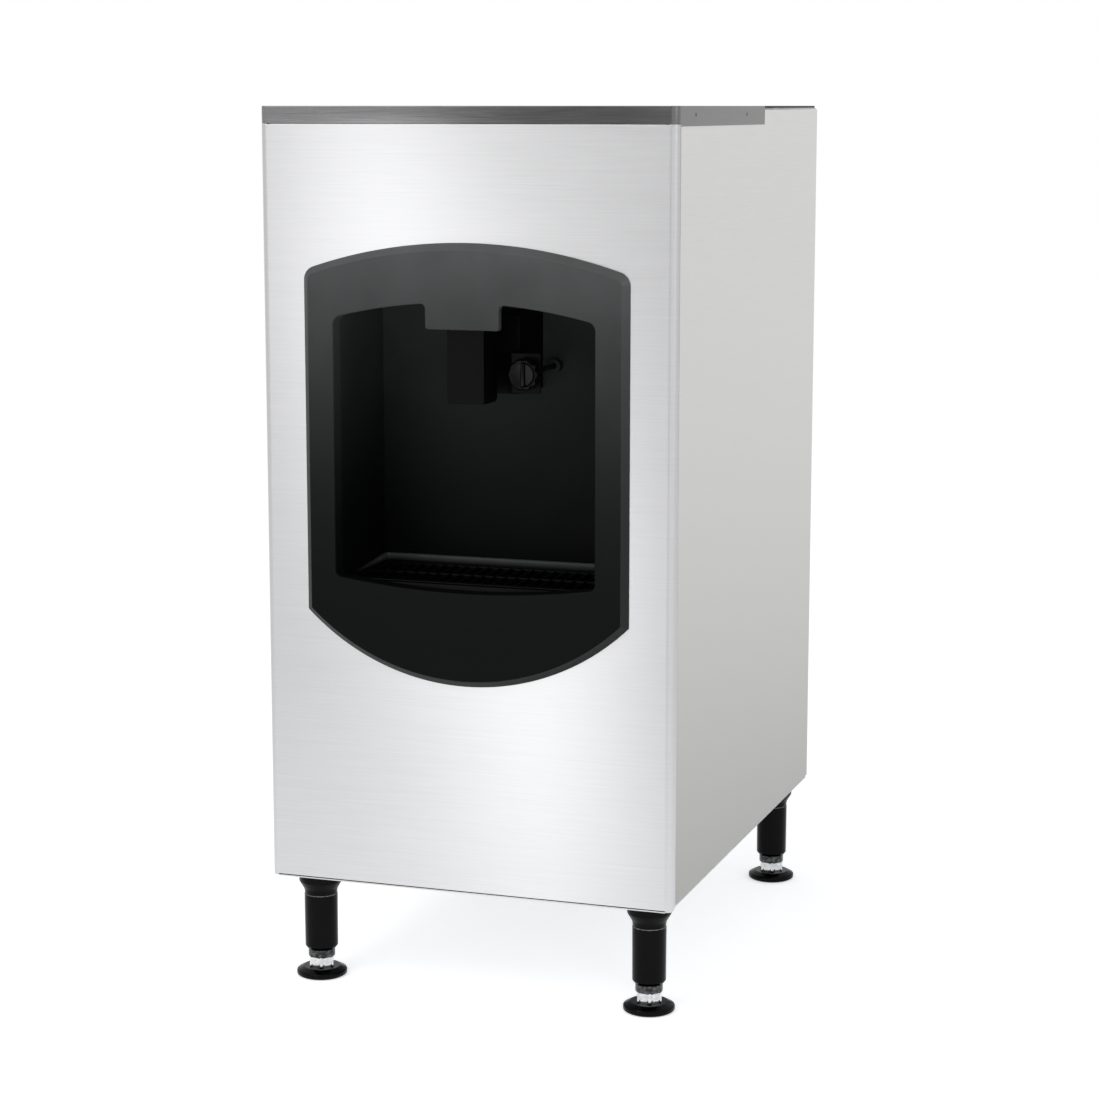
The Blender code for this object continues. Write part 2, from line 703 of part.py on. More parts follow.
def make_front_panel():
    """Stainless front, wrapped round both front edges, with the cut-out behind the bezel."""
    left = arc(
        (-HALF_WIDTH + FRONT_CORNER_RADIUS, FRONT + FRONT_CORNER_RADIUS),
        FRONT_CORNER_RADIUS,
        math.radians(180),
        math.radians(270),
        CORNER_STEPS + 1,
    )
    right = [(-x, y) for x, y in reversed(left)]
    return_end = FRONT + FRONT_CORNER_RADIUS + FRONT_RETURN
    path = [(-HALF_WIDTH, return_end), *left, *right, (HALF_WIDTH, return_end)]
    top = TOP - TRIM_FRONT_HEIGHT - CLEARANCE
    panel = folded_sheet("front_panel", path, LEG_HEIGHT, top)
    flat = HALF_WIDTH - FRONT_CORNER_RADIUS
    inside = FRONT + SHEET / 2
    lower = box(
        "front_panel_lower_flange",
        (-flat, inside, LEG_HEIGHT),
        (flat, FRONT + BOTTOM_FLANGE, LEG_HEIGHT + SHEET),
    )
    upper = box(
        "front_panel_upper_flange",
        (-flat, inside, top - SHEET),
        (flat, FRONT + SHEET + BIN_AIR_GAP - CLEARANCE, top),
    )
    join(panel, lower, upper)
    hole = slab(
        "front_panel_cut_out",
        [grown(bezel_outline(), -BEZEL_LAP)],
        "XZ",
        FRONT - OVERRUN,
        FRONT + OVERRUN,
    )
    cut(panel, hole)
    radius = FRONT_LOWER_RADIUS
    corner = arc(
        (HALF_WIDTH - radius, LEG_HEIGHT + radius), radius, math.radians(-90), 0, CORNER_STEPS
    )
    waste = [
        *corner,
        (HALF_WIDTH + OVERRUN, LEG_HEIGHT + radius),
        (HALF_WIDTH + OVERRUN, LEG_HEIGHT - OVERRUN),
        (HALF_WIDTH - radius, LEG_HEIGHT - OVERRUN),
    ]
    for name, side in (("left", -1), ("right", 1)):
        outline = [(side * x, z) for x, z in waste]
        ends = (FRONT - OVERRUN, FRONT + BOTTOM_FLANGE + OVERRUN)
        cut(panel, slab(f"front_panel_{name}_corner", [outline], "XZ", *ends))
    finish(panel, "satin_steel")


def make_side_panel(name, side):
    """Stainless side, set in a little behind the front panel's wrap, with folded flanges."""
    inner = SIDE_FACE - SIDE_FRONT_FLANGE
    path = [
        (side * inner, SIDE_START),
        (side * SIDE_FACE, SIDE_START),
        (side * SIDE_FACE, REAR_FACE),
    ]
    if side < 0:
        path.reverse()
    foot = LEG_HEIGHT + SIDE_LIFT
    panel = folded_sheet(name, path, foot, WALL_TOP)
    outer = side * (SIDE_FACE - SHEET / 2)
    inner = side * (SIDE_FACE - TOP_FLANGE)
    flange = box(
        f"{name}_top_flange",
        (min(outer, inner), SIDE_START + SHEET / 2, WALL_TOP - SHEET),
        (max(outer, inner), REAR_FACE - SHEET - CLEARANCE, WALL_TOP),
    )
    join(panel, flange)
    finish(panel, "satin_steel")


def rear_sheet(name, low, high, holes=()):
    """One flat sheet of the back, as wide as the cabinet, between two heights."""
    outline = rectangle(-SIDE_INNER, low, SIDE_INNER, high)
    return slab(name, [outline, *holes], "XZ", REAR_FACE - SHEET, REAR_FACE)


def make_rear():
    """Galvanised back: a plain panel, a cover with two columns of pressed louvres that comes off
    for the machine space, and a plate at the foot that the drains and the mains go through."""
    cover_foot = LOUVRE_FOOT - LOUVRE_MARGIN
    cover_head = LOUVRE_HEAD + LOUVRE_MARGIN
    panel = rear_sheet("rear_panel", cover_head + CLEARANCE, WALL_TOP)
    finish(panel, "galvanised")

    slots = []
    blades = []
    for column in (-1, 1):
        middle = column * (LOUVRE_WIDTH + LOUVRE_SIDE_GAP) / 2
        for row in range(LOUVRE_ROWS):
            low = LOUVRE_FOOT + row * LOUVRE_PITCH
            left = middle - LOUVRE_WIDTH / 2
            right = middle + LOUVRE_WIDTH / 2
            slots.append(rectangle(left, low, right, low + LOUVRE_HEIGHT - SHEET))
            profile = [
                (REAR_FACE - SHEET / 2, low + LOUVRE_HEIGHT + SHEET),
                (REAR_FACE - SHEET / 2, low + LOUVRE_HEIGHT - 2 * SHEET),
                (REAR_FACE + LOUVRE_PROUD - SHEET, low),
                (REAR_FACE + LOUVRE_PROUD, low),
            ]
            ends = (left - 2 * SHEET, right + 2 * SHEET)
            blades.append(slab(f"louvre_{column}_{row}", [profile], "YZ", *ends))
    cover = rear_sheet("louvred_cover", cover_foot, cover_head, slots)
    join(cover, *blades)
    finish(cover, "galvanised")

    holes = []
    for x in (-OUTLET_X, -OUTLET_X + OUTLET_SPACING):
        hole = arc((x, OUTLET_Z), OUTLET_RADIUS + CLEARANCE, 0, math.tau, SMALL_SIDES)[:-1]
        holes.append(hole)
    half = INLET_WIDTH / 2 - INLET_LIP + CLEARANCE
    tall = INLET_HEIGHT / 2 - INLET_LIP + CLEARANCE
    middle = PAN_TOP + INLET_LIFT
    holes.append(rectangle(INLET_X - half, middle - tall, INLET_X + half, middle + tall))
    foot = LEG_HEIGHT + SIDE_LIFT
    plate = rear_sheet("connection_plate", foot, cover_foot - CLEARANCE, holes)
    finish(plate, "galvanised")


def make_top():
    """Deck that carries the bin's rim, the gasket on it and the dark trim round the front."""
    opening_half = BIN_HALF_WIDTH + BIN_WALL + CLEARANCE
    hole = rectangle(
        -opening_half,
        SHELF_FRONT - BIN_WALL - CLEARANCE,
        opening_half,
        TROUGH_REAR + BIN_WALL + CLEARANCE,
    )
    corner = FRONT_CORNER_RADIUS
    edge = rectangle(-SIDE_FACE, FRONT + SHEET + CLEARANCE, SIDE_FACE, REAR_FACE, corner)
    deck = slab("top_deck", [edge, hole], "XY", DECK_UNDERSIDE, DECK_TOP)
    finish(deck, "galvanised")

    rim_half = BIN_HALF_WIDTH + BIN_WALL + BIN_RIM_WIDTH + CLEARANCE
    ring = rectangle(
        -SIDE_FACE + GASKET_INSET,
        FRONT + SHEET + CLEARANCE + GASKET_INSET,
        SIDE_FACE - GASKET_INSET,
        REAR_FACE - GASKET_INSET,
        corner,
    )
    inside = rectangle(
        -rim_half,
        SHELF_FRONT - BIN_WALL - BIN_RIM_WIDTH - CLEARANCE,
        rim_half,
        TROUGH_REAR + BIN_WALL + BIN_RIM_WIDTH + CLEARANCE,
    )
    gasket = slab("top_gasket", [ring, inside], "XY", DECK_TOP + CLEARANCE, TOP)
    finish(gasket, "gasket")

    left = arc(
        (-HALF_WIDTH + FRONT_CORNER_RADIUS, FRONT + FRONT_CORNER_RADIUS),
        FRONT_CORNER_RADIUS,
        math.radians(180),
        math.radians(270),
        CORNER_STEPS + 1,
    )
    right = [(-x, y) for x, y in reversed(left)]
    end = FRONT + TRIM_SIDE_LENGTH
    path = [(-HALF_WIDTH, end), *left, *right, (HALF_WIDTH, end)]
    trim = folded_sheet("top_trim", path, TOP - TRIM_SIDE_HEIGHT, TOP)
    step = box(
        "top_trim_step",
        (-HALF_WIDTH - OVERRUN, FRONT - OVERRUN, TOP - TRIM_SIDE_HEIGHT - OVERRUN),
        (HALF_WIDTH + OVERRUN, SIDE_START, TOP - TRIM_FRONT_HEIGHT),
    )
    cut(trim, step)
    finish(trim, "dark_trim")


def make_base():
    """Base pan with the leg plates welded under it, and the four corner posts on it."""
    pan = box(
        "base_pan",
        (-PAN_HALF_WIDTH, PAN_FRONT, PAN_UNDERSIDE),
        (PAN_HALF_WIDTH, PAN_REAR, PAN_TOP + PAN_FLANGE),
    )
    hollow = box(
        "base_pan_hollow",
        (-PAN_HALF_WIDTH + SHEET, PAN_FRONT + SHEET, PAN_TOP),
        (PAN_HALF_WIDTH - SHEET, PAN_REAR - SHEET, PAN_TOP + PAN_FLANGE + OVERRUN),
    )
    cut(pan, hollow)
    half = min(LEG_PLATE_SIDE / 2, LEG_SIDE_INSET - SIDE_INSET - SHEET - CLEARANCE)
    front_half = min(LEG_PLATE_SIDE / 2, LEG_FRONT_INSET - BOTTOM_FLANGE - CLEARANCE)
    rear_half = min(LEG_PLATE_SIDE / 2, LEG_REAR_INSET - SHEET - CLEARANCE)
    for x in (-LEG_X, LEG_X):
        for y, near in ((LEG_FRONT_Y, front_half), (LEG_REAR_Y, rear_half)):
            plate = box(
                "leg_plate",
                (x - half, y - near, LEG_HEIGHT + CLEARANCE),
                (x + half, y + near, PAN_UNDERSIDE + SHEET / 2),
            )
            join(pan, plate)
    finish(pan, "galvanised")

    outer = PAN_HALF_WIDTH - SHEET - CLEARANCE
    front = PAN_FRONT + SHEET + CLEARANCE
    rear = PAN_REAR - SHEET - CLEARANCE
    places = {
        "front_left_post": (-1, 1, front),
        "front_right_post": (1, 1, front),
        "rear_left_post": (-1, -1, rear),
        "rear_right_post": (1, -1, rear),
    }
    for name, (side, inward, y) in places.items():
        x = side * outer
        section = [
            (x, y),
            (x - side * POST_WIDTH, y),
            (x - side * POST_WIDTH, y + inward * POST_THICKNESS),
            (x - side * POST_THICKNESS, y + inward * POST_THICKNESS),
            (x - side * POST_THICKNESS, y + inward * POST_WIDTH),
            (x, y + inward * POST_WIDTH),
        ]
        height = WALL_TOP - SHEET - CLEARANCE
        post = slab(name, [section], "XY", PAN_TOP + CLEARANCE, height)
        finish(post, "galvanised", smooth=False)


def make_bezel():
    """Moulded ABS surround: bevelled tombstone plate with a tab, and a collar into the alcove."""
    rear = FRONT - CLEARANCE
    bezel = slab("bezel", [bezel_outline()], "XZ", FRONT - BEZEL_PROUD, rear)
    mesh = bezel.data
    weights = mesh.attributes.new("bevel_weight_edge", "FLOAT", "EDGE")
    for edge in mesh.edges:
        ends = [mesh.vertices[i].co for i in edge.vertices]
        on_face = all(abs(end.y - FRONT + BEZEL_PROUD) < MERGE for end in ends)
        weights.data[edge.index].value = 1.0 if on_face and edge_is_rim(mesh, edge) else 0.0
    bevel = bezel.modifiers.new("edge", "BEVEL")
    bevel.limit_method = "WEIGHT"
    bevel.width = BEZEL_BEVEL
    bevel.segments = 1
    mouth = slab(
        "bezel_mouth", [opening_outline(True)], "XZ", FRONT - BEZEL_PROUD - OVERRUN, rear + OVERRUN
    )
    cut(bezel, mouth)
    plain = opening_outline(False)
    collar = slab(
        "bezel_collar",
        [grown(plain, COLLAR_WALL), plain],
        "XZ",
        FRONT - BEZEL_PROUD / 2,
        COLLAR_END,
    )
    join(bezel, collar)
    finish(bezel, "black_abs")


def edge_is_rim(mesh, edge):
    """True where an edge lies between the front face and a side wall of a slab."""
    normals = [
        polygon.normal
        for polygon in mesh.polygons
        if set(edge.vertices) <= set(polygon.vertices)
    ]
    return len(normals) == 2 and abs(normals[0].dot(normals[1])) < math.sin(math.radians(45))


def make_alcove_liner():
    """Black moulded box behind the bezel, with a boss for the knob's screw and the chute's hole."""
    wall = ALCOVE_WALL
    top = ALCOVE_CEILING + wall
    liner = box(
        "alcove_liner",
        (-ALCOVE_HALF_WIDTH - wall, LINER_FRONT, ALCOVE_FLOOR - wall),
        (ALCOVE_HALF_WIDTH + wall, ALCOVE_BACK + wall, top),
    )
    flange_foot = TOP - BEZEL_LOWER_CORNER_DROP
    flange = box(
        "alcove_flange",
        (-ALCOVE_HALF_WIDTH - ALCOVE_FLANGE, LINER_FRONT, flange_foot - ALCOVE_FLANGE),
        (ALCOVE_HALF_WIDTH + ALCOVE_FLANGE, LINER_FRONT + wall, top + ALCOVE_FLANGE),
    )
    join(liner, flange)
    inside = box(
        "alcove_inside",
        (-ALCOVE_HALF_WIDTH, LINER_FRONT - OVERRUN, ALCOVE_FLOOR),
        (ALCOVE_HALF_WIDTH, ALCOVE_BACK, ALCOVE_CEILING),
    )
    chute_hole = chute_block(
        "alcove_chute_hole", CHUTE_WALL + CLEARANCE, ALCOVE_BACK - wall, ALCOVE_BACK + 2 * wall
    )
    slot = box(
        "lever_slot",
        (-LEVER_SLOT_HALF_WIDTH, ARM_FRONT - LEVER_SLOT_MARGIN, ALCOVE_CEILING - OVERRUN),
        (LEVER_SLOT_HALF_WIDTH, SWITCH_FRONT + LEVER_SLOT_MARGIN, top + OVERRUN),
    )
    drain = rod(
        "alcove_drain_hole",
        DRAIN_RADIUS + CLEARANCE,
        (0, DRAIN_Y, ALCOVE_FLOOR - wall - OVERRUN),
        (0, DRAIN_Y, ALCOVE_FLOOR + OVERRUN),
        SMALL_SIDES,
    )
    cut(liner, inside)
    boss = rod(
        "knob_boss",
        KNOB_BOSS_RADIUS,
        (KNOB_X, ALCOVE_BACK - KNOB_BOSS_LENGTH, KNOB_Z),
        (KNOB_X, ALCOVE_BACK + wall / 2, KNOB_Z),
        SMALL_SIDES,
    )
    join(liner, boss)
    boss_hole = rod(
        "knob_boss_hole",
        KNOB_STEM_RADIUS + RUNNING_GAP,
        (KNOB_X, ALCOVE_BACK - KNOB_BOSS_LENGTH - OVERRUN, KNOB_Z),
        (KNOB_X, ALCOVE_BACK, KNOB_Z),
        SMALL_SIDES,
    )
    cut(liner, chute_hole, slot, drain, boss_hole)
    finish(liner, "black_abs")


def make_sink():
    """Drip sink with a raised rim and a ledge, the lift-out grille on it, and its drain."""
    radius = SINK_CORNER_RADIUS
    half = SINK_HALF_WIDTH
    sink = slab(
        "drip_sink",
        [rectangle(-half, SINK_FRONT, half, SINK_REAR, radius)],
        "XY",
        SINK_FOOT,
        SINK_RIM,
    )
    rim = SINK_RIM_WIDTH
    well = slab(
        "sink_well",
        [rectangle(-half + rim, SINK_FRONT + rim, half - rim, SINK_REAR - rim, radius)],
        "XY",
        SINK_RIM - SINK_RIM_DEPTH,
        SINK_RIM + OVERRUN,
    )
    deep = rim + SINK_LEDGE
    basin = slab(
        "sink_basin",
        [rectangle(-half + deep, SINK_FRONT + deep, half - deep, SINK_REAR - deep, radius)],
        "XY",
        SINK_FOOT + SINK_FLOOR_LIFT,
        SINK_RIM,
    )
    drain_hole = rod(
        "sink_drain_hole",
        DRAIN_RADIUS + CLEARANCE,
        (0, DRAIN_Y, SINK_FOOT - OVERRUN),
        (0, DRAIN_Y, SINK_FOOT + OVERRUN),
        SMALL_SIDES,
    )
    cut(sink, well, basin, drain_hole)
    finish(sink, "black_abs")

    edge = rim + CLEARANCE
    low_x = -half + edge
    low_y = SINK_FRONT + edge
    high_y = SINK_REAR - edge
    foot = SINK_RIM - SINK_RIM_DEPTH + CLEARANCE
    top = foot + GRILLE_THICKNESS
    inner = (low_x + GRILLE_FRAME, low_y + GRILLE_FRAME, -low_x - GRILLE_FRAME)
    span = inner[2] - inner[0]
    ribs = max(1, round(span / GRILLE_RIB_PITCH) - 1)
    gap = (span - ribs * GRILLE_RIB) / (ribs + 1)
    middle = (low_y + high_y) / 2
    slots = []
    for i in range(ribs + 1):
        left = inner[0] + i * (gap + GRILLE_RIB)
        bar = GRILLE_CROSS_BAR / 2
        slots.append(rectangle(left, inner[1], left + gap, middle - bar))
        slots.append(rectangle(left, middle + bar, left + gap, high_y - GRILLE_FRAME))
    plate = rectangle(low_x, low_y, -low_x, high_y, radius - CLEARANCE)
    grille = slab("drip_grille", [plate, *slots], "XY", foot, top)
    finish(grille, "black_abs", smooth=False)
    hang_on(pivot("grille_lift", (0, middle, foot)), grille)

    floor = SINK_FOOT + SINK_FLOOR_LIFT + CLEARANCE
    tail = SINK_FOOT - DRAIN_TAIL
    profile = [
        (DRAIN_BORE, floor + DRAIN_FLANGE),
        (DRAIN_FLANGE_RADIUS, floor + DRAIN_FLANGE),
        (DRAIN_FLANGE_RADIUS, floor),
        (DRAIN_RADIUS, floor),
        (DRAIN_RADIUS, tail),
        (DRAIN_BORE, tail),
        (DRAIN_BORE, floor + DRAIN_FLANGE),
    ]
    drain = turned("sink_drain", profile, (0, DRAIN_Y, 0), sides=SMALL_SIDES)
    finish(drain, "white_nylon")


def bin_block(name, out, top):
    """The bin's inner space grown outwards: a half-round trough behind, and a shelf in front."""
    half = BIN_HALF_WIDTH + out
    round_part = arc((0, WHEEL_AXIS), half, 0, -math.pi, TROUGH_STEPS)
    trough = slab(
        name,
        [[(-half, top), *reversed(round_part), (half, top)]],
        "XZ",
        TROUGH_FRONT - out,
        TROUGH_REAR + out,
    )
    inside = TROUGH_FRONT + OVERRUN
    shelf_rear = TOP - SHELF_REAR_DROP - out
    shelf_front = TOP - SHELF_FRONT_DROP - out
    shelf = slab(
        f"{name}_shelf",
        [
            [
                (SHELF_FRONT - out, top),
                (SHELF_FRONT - out, shelf_front),
                (TROUGH_FRONT, shelf_rear),
                (inside, shelf_rear),
                (inside, top),
            ]
        ],
        "YZ",
        -half,
        half,
    )
    join(trough, shelf)
    return trough


def chute_block(name, out, front, rear):
    """A length of the sloping chute's space, grown outwards by a wall."""
    half = CHUTE_HALF_WIDTH + out
    slope = CHUTE_SLOPE_SHARE

    def floor(y):
        return CHUTE_FOOT + (y - CHUTE_REAR) * slope - out

    height = CHUTE_HEIGHT + 2 * out
    outline = [
        (front, floor(front)),
        (rear, floor(rear)),
        (rear, floor(rear) + height),
        (front, floor(front) + height),
    ]
    return slab(name, [outline], "YZ", -half, half)


def make_bin():
    """Moulded bin with its rim on the deck, and the foam jacket round it."""
    liner = bin_block("bin_liner", BIN_WALL, TOP)
    rim = BIN_WALL + BIN_RIM_WIDTH
    lip = box(
        "bin_rim",
        (-BIN_HALF_WIDTH - rim, SHELF_FRONT - rim, DECK_TOP + CLEARANCE),
        (BIN_HALF_WIDTH + rim, TROUGH_REAR + rim, TOP),
    )
    join(liner, lip)
    cut(liner, bin_block("bin_inside", 0, TOP + OVERRUN))
    drop = box(
        "drop_opening",
        (-CHUTE_HALF_WIDTH, TROUGH_FRONT - BIN_WALL - OVERRUN, CHUTE_FOOT),
        (CHUTE_HALF_WIDTH, TROUGH_FRONT + OVERRUN, CHUTE_FOOT + CHUTE_HEIGHT),
    )
    hole = SHAFT_RADIUS + RUNNING_GAP + BUSH_WALL + CLEARANCE
    shaft_hole = rod(
        "bin_shaft_holes",
        hole,
        (0, TROUGH_FRONT - BIN_WALL - OVERRUN, WHEEL_AXIS),
        (0, TROUGH_REAR + BIN_WALL + OVERRUN, WHEEL_AXIS),
        SMALL_SIDES,
    )
    drain_y = TROUGH_REAR - BIN_DRAIN_FROM_BACK
    foot = WHEEL_AXIS - BIN_HALF_WIDTH
    drain_hole = rod(
        "bin_drain_hole",
        DRAIN_RADIUS + CLEARANCE,
        (0, drain_y, foot - BIN_WALL - OVERRUN),
        (0, drain_y, foot + OVERRUN),
        SMALL_SIDES,
    )
    cut(liner, drop, shaft_hole, drain_hole)
    finish(liner, "white_liner")

    inner = BIN_WALL + CLEARANCE
    outer = inner + BIN_FOAM
    foam = bin_block("bin_insulation", outer, WALL_TOP)
    cut(foam, bin_block("foam_inside", inner, WALL_TOP + OVERRUN))
    foam_chute = chute_block(
        "foam_chute_hole", CHUTE_WALL + CLEARANCE, FOAM_FACE - OVERRUN, CHUTE_REAR + BIN_WALL / 2
    )
    foam_shaft = rod(
        "foam_shaft_holes",
        hole,
        (0, FOAM_FACE - OVERRUN, WHEEL_AXIS),
        (0, TROUGH_REAR + outer + OVERRUN, WHEEL_AXIS),
        SMALL_SIDES,
    )
    foam_drain = rod(
        "foam_drain_hole",
        DRAIN_RADIUS + CLEARANCE,
        (0, drain_y, foot - outer - OVERRUN),
        (0, drain_y, foot + OVERRUN),
        SMALL_SIDES,
    )
    cut(foam, foam_chute, foam_shaft, foam_drain)
    finish(foam, "foam")

    flange = foot + DRAIN_FLANGE + CLEARANCE * 2
    tail = foot - outer - DRAIN_FLANGE
    profile = [
        (DRAIN_BORE, flange),
        (DRAIN_RADIUS, flange),
        (DRAIN_RADIUS, tail),
        (DRAIN_BORE, tail),
        (DRAIN_BORE, flange),
    ]
    drain = turned("bin_drain", profile, (0, drain_y, 0), sides=SMALL_SIDES)
    finish(drain, "white_nylon")


def wheel_outline():
    """Hub with swept blades: each blade leans back further the further out it is."""
    outline = []
    pitch = math.tau / WHEEL_BLADES
    half = WHEEL_BLADE_THICKNESS / 2
    hub = WHEEL_HUB_RADIUS
    for blade in range(WHEEL_BLADES):
        base = blade * pitch
        edges = []
        for step in range(BLADE_STEPS + 1):
            share = step / BLADE_STEPS
            reach = hub + (WHEEL_RADIUS - hub) * share
            lean = base + WHEEL_BLADE_SWEEP_SHARE * share**2
            edges.append((reach, lean, half / reach))
        outline += [(r * math.cos(a - d), r * math.sin(a - d)) for r, a, d in edges]
        outline += [(r * math.cos(a + d), r * math.sin(a + d)) for r, a, d in reversed(edges)]
        outline.append((hub * math.cos(base + pitch / 2), hub * math.sin(base + pitch / 2)))
    return [(x, z + WHEEL_AXIS) for x, z in outline]


def make_drive():
    """Lift wheel and agitator shaft in their bushes, turned by the gearmotor."""
    axis = pivot("wheel_axis", (0, (TROUGH_FRONT + TROUGH_REAR) / 2, WHEEL_AXIS))
    wheel = slab("lift_wheel", [wheel_outline()], "XZ", WHEEL_FRONT, WHEEL_REAR)
    disc = rod(
        "wheel_disc",
        WHEEL_DISC_RADIUS,
        (0, WHEEL_REAR - WHEEL_DISC_THICKNESS, WHEEL_AXIS),
        (0, WHEEL_REAR + WHEEL_DISC_THICKNESS / 2, WHEEL_AXIS),
    )
    hub = rod(
        "wheel_hub",
        WHEEL_HUB_RADIUS + WHEEL_BLADE_THICKNESS / 2,
        (0, WHEEL_FRONT, WHEEL_AXIS),
        (0, WHEEL_REAR + WHEEL_HUB_EXTRA, WHEEL_AXIS),
        SMALL_SIDES,
    )
    join(wheel, disc, hub)
    bore = rod(
        "wheel_bore",
        SHAFT_RADIUS + RUNNING_GAP,
        (0, WHEEL_FRONT - OVERRUN, WHEEL_AXIS),
        (0, WHEEL_REAR + WHEEL_HUB_EXTRA + OVERRUN, WHEEL_AXIS),
        SMALL_SIDES,
    )
    cut(wheel, bore)
    finish(wheel, "white_nylon")

    front_end = GEARBOX_REAR - GEARBOX_BORE_DEPTH + CLEARANCE
    rear_end = TROUGH_REAR + BIN_WALL + CLEARANCE
    shaft = rod(
        "agitator_shaft",
        SHAFT_RADIUS,
        (0, front_end, WHEEL_AXIS),
        (0, rear_end, WHEEL_AXIS),
        SMALL_SIDES,
    )
    first = WHEEL_REAR + WHEEL_HUB_EXTRA + BOW_GAP + BOW_ROD
    last = TROUGH_REAR - BUSH_FLANGE - BOW_GAP - BOW_ROD
    length = (last - first - (BOW_COUNT - 1) * BOW_GAP) / BOW_COUNT
    for i in range(BOW_COUNT):
        begin = first + i * (length + BOW_GAP)
        path = rounded(
            [
                (begin, 0, 0),
                (begin, BOW_RADIUS, BOW_CORNER),
                (begin + length, BOW_RADIUS, BOW_CORNER),
                (begin + length, 0, 0),
            ],
            CORNER_STEPS - 1,
        )
        turn = math.tau * i / BOW_COUNT
        points = [
            (reach * math.sin(turn), y, WHEEL_AXIS + reach * math.cos(turn)) for y, reach in path
        ]
        join(shaft, tube(f"agitator_bow_{i}", points, BOW_ROD))
    finish(shaft, "polished_steel")
    hang_on(axis, wheel, shaft)

    inner = SHAFT_RADIUS + RUNNING_GAP
    outer = inner + BUSH_WALL
    face = TROUGH_FRONT + CLEARANCE
    length = face - BRACKET_FRONT + BUSH_FLANGE
    profile = [
        (inner, 0),
        (BUSH_FLANGE_RADIUS, 0),
        (BUSH_FLANGE_RADIUS, -BUSH_FLANGE),
        (outer, -BUSH_FLANGE),
        (outer, -length),
        (inner, -length),
        (inner, 0),
    ]
    place = (0, face + BUSH_FLANGE, WHEEL_AXIS)
    bush = turned("front_bush", profile, place, "Y", SMALL_SIDES)
    bush.rotation_euler = (math.radians(-90), 0, 0)
    finish(bush, "brass")
    face = TROUGH_REAR - CLEARANCE
    depth = TROUGH_REAR + BIN_WALL + BIN_FOAM / 2 - face
    floor = BUSH_FLANGE + TROUGH_REAR + BIN_WALL + CLEARANCE - face + CLEARANCE
    profile = [
        (inner, 0),
        (BUSH_FLANGE_RADIUS, 0),
        (BUSH_FLANGE_RADIUS, -BUSH_FLANGE),
        (outer, -BUSH_FLANGE),
        (outer, -depth),
        (0, -depth),
        (0, -floor),
        (inner, -floor),
        (inner, 0),
    ]
    place = (0, face - BUSH_FLANGE, WHEEL_AXIS)
    bush = turned("rear_bush", profile, place, "Y", SMALL_SIDES)
    finish(bush, "brass")

    bracket = slab(
        "motor_bracket",
        [
            rectangle(
                -BRACKET_HALF_WIDTH,
                WHEEL_AXIS - BRACKET_HEIGHT / 2,
                BRACKET_HALF_WIDTH,
                WHEEL_AXIS + BRACKET_HEIGHT / 2,
                GEARBOX_EDGE,
            ),
            arc((0, WHEEL_AXIS), outer + CLEARANCE, 0, math.tau, SMALL_SIDES)[:-1],
        ],
        "XZ",
        BRACKET_FRONT,
        BRACKET_REAR,
    )
    finish(bracket, "galvanised", smooth=False)

    half = GEARBOX_WIDTH / 2
    tall = GEARBOX_HEIGHT / 2
    gearbox = box(
        "gear_housing",
        (-half, GEARBOX_FRONT, WHEEL_AXIS - tall),
        (half, GEARBOX_REAR, WHEEL_AXIS + tall),
    )
    edges = gearbox.modifiers.new("edges", "BEVEL")
    edges.width = GEARBOX_EDGE
    edges.segments = 2
    foot = box(
        "gear_housing_foot",
        (-half - GEARBOX_FOOT, GEARBOX_REAR - GEARBOX_FOOT, WHEEL_AXIS - tall),
        (half + GEARBOX_FOOT, GEARBOX_REAR, WHEEL_AXIS - tall + GEARBOX_FOOT_HEIGHT),
    )
    socket = rod(
        "gear_housing_bore",
        inner,
        (0, GEARBOX_REAR - GEARBOX_BORE_DEPTH, WHEEL_AXIS),
        (0, GEARBOX_REAR + OVERRUN, WHEEL_AXIS),
        SMALL_SIDES,
    )
    join(gearbox, foot)
    cut(gearbox, socket)
    finish(gearbox, "grey_casting")

    begin = half + CLEARANCE
    end = begin + MOTOR_LENGTH
    radius = MOTOR_RADIUS
    profile = [
        (0, end),
        (radius - MOTOR_CAP, end),
        (radius, end - MOTOR_CAP),
        (radius, begin + MOTOR_CAP + MOTOR_RIM),
        (radius + MOTOR_RIM, begin + MOTOR_CAP),
        (radius + MOTOR_RIM, begin),
        (0, begin),
    ]
    middle = BRACKET_FRONT - CLEARANCE - MOTOR_RADIUS - MOTOR_RIM
    motor = turned("drive_motor", profile, (0, middle, WHEEL_AXIS), "X")
    finish(motor, "grey_casting")


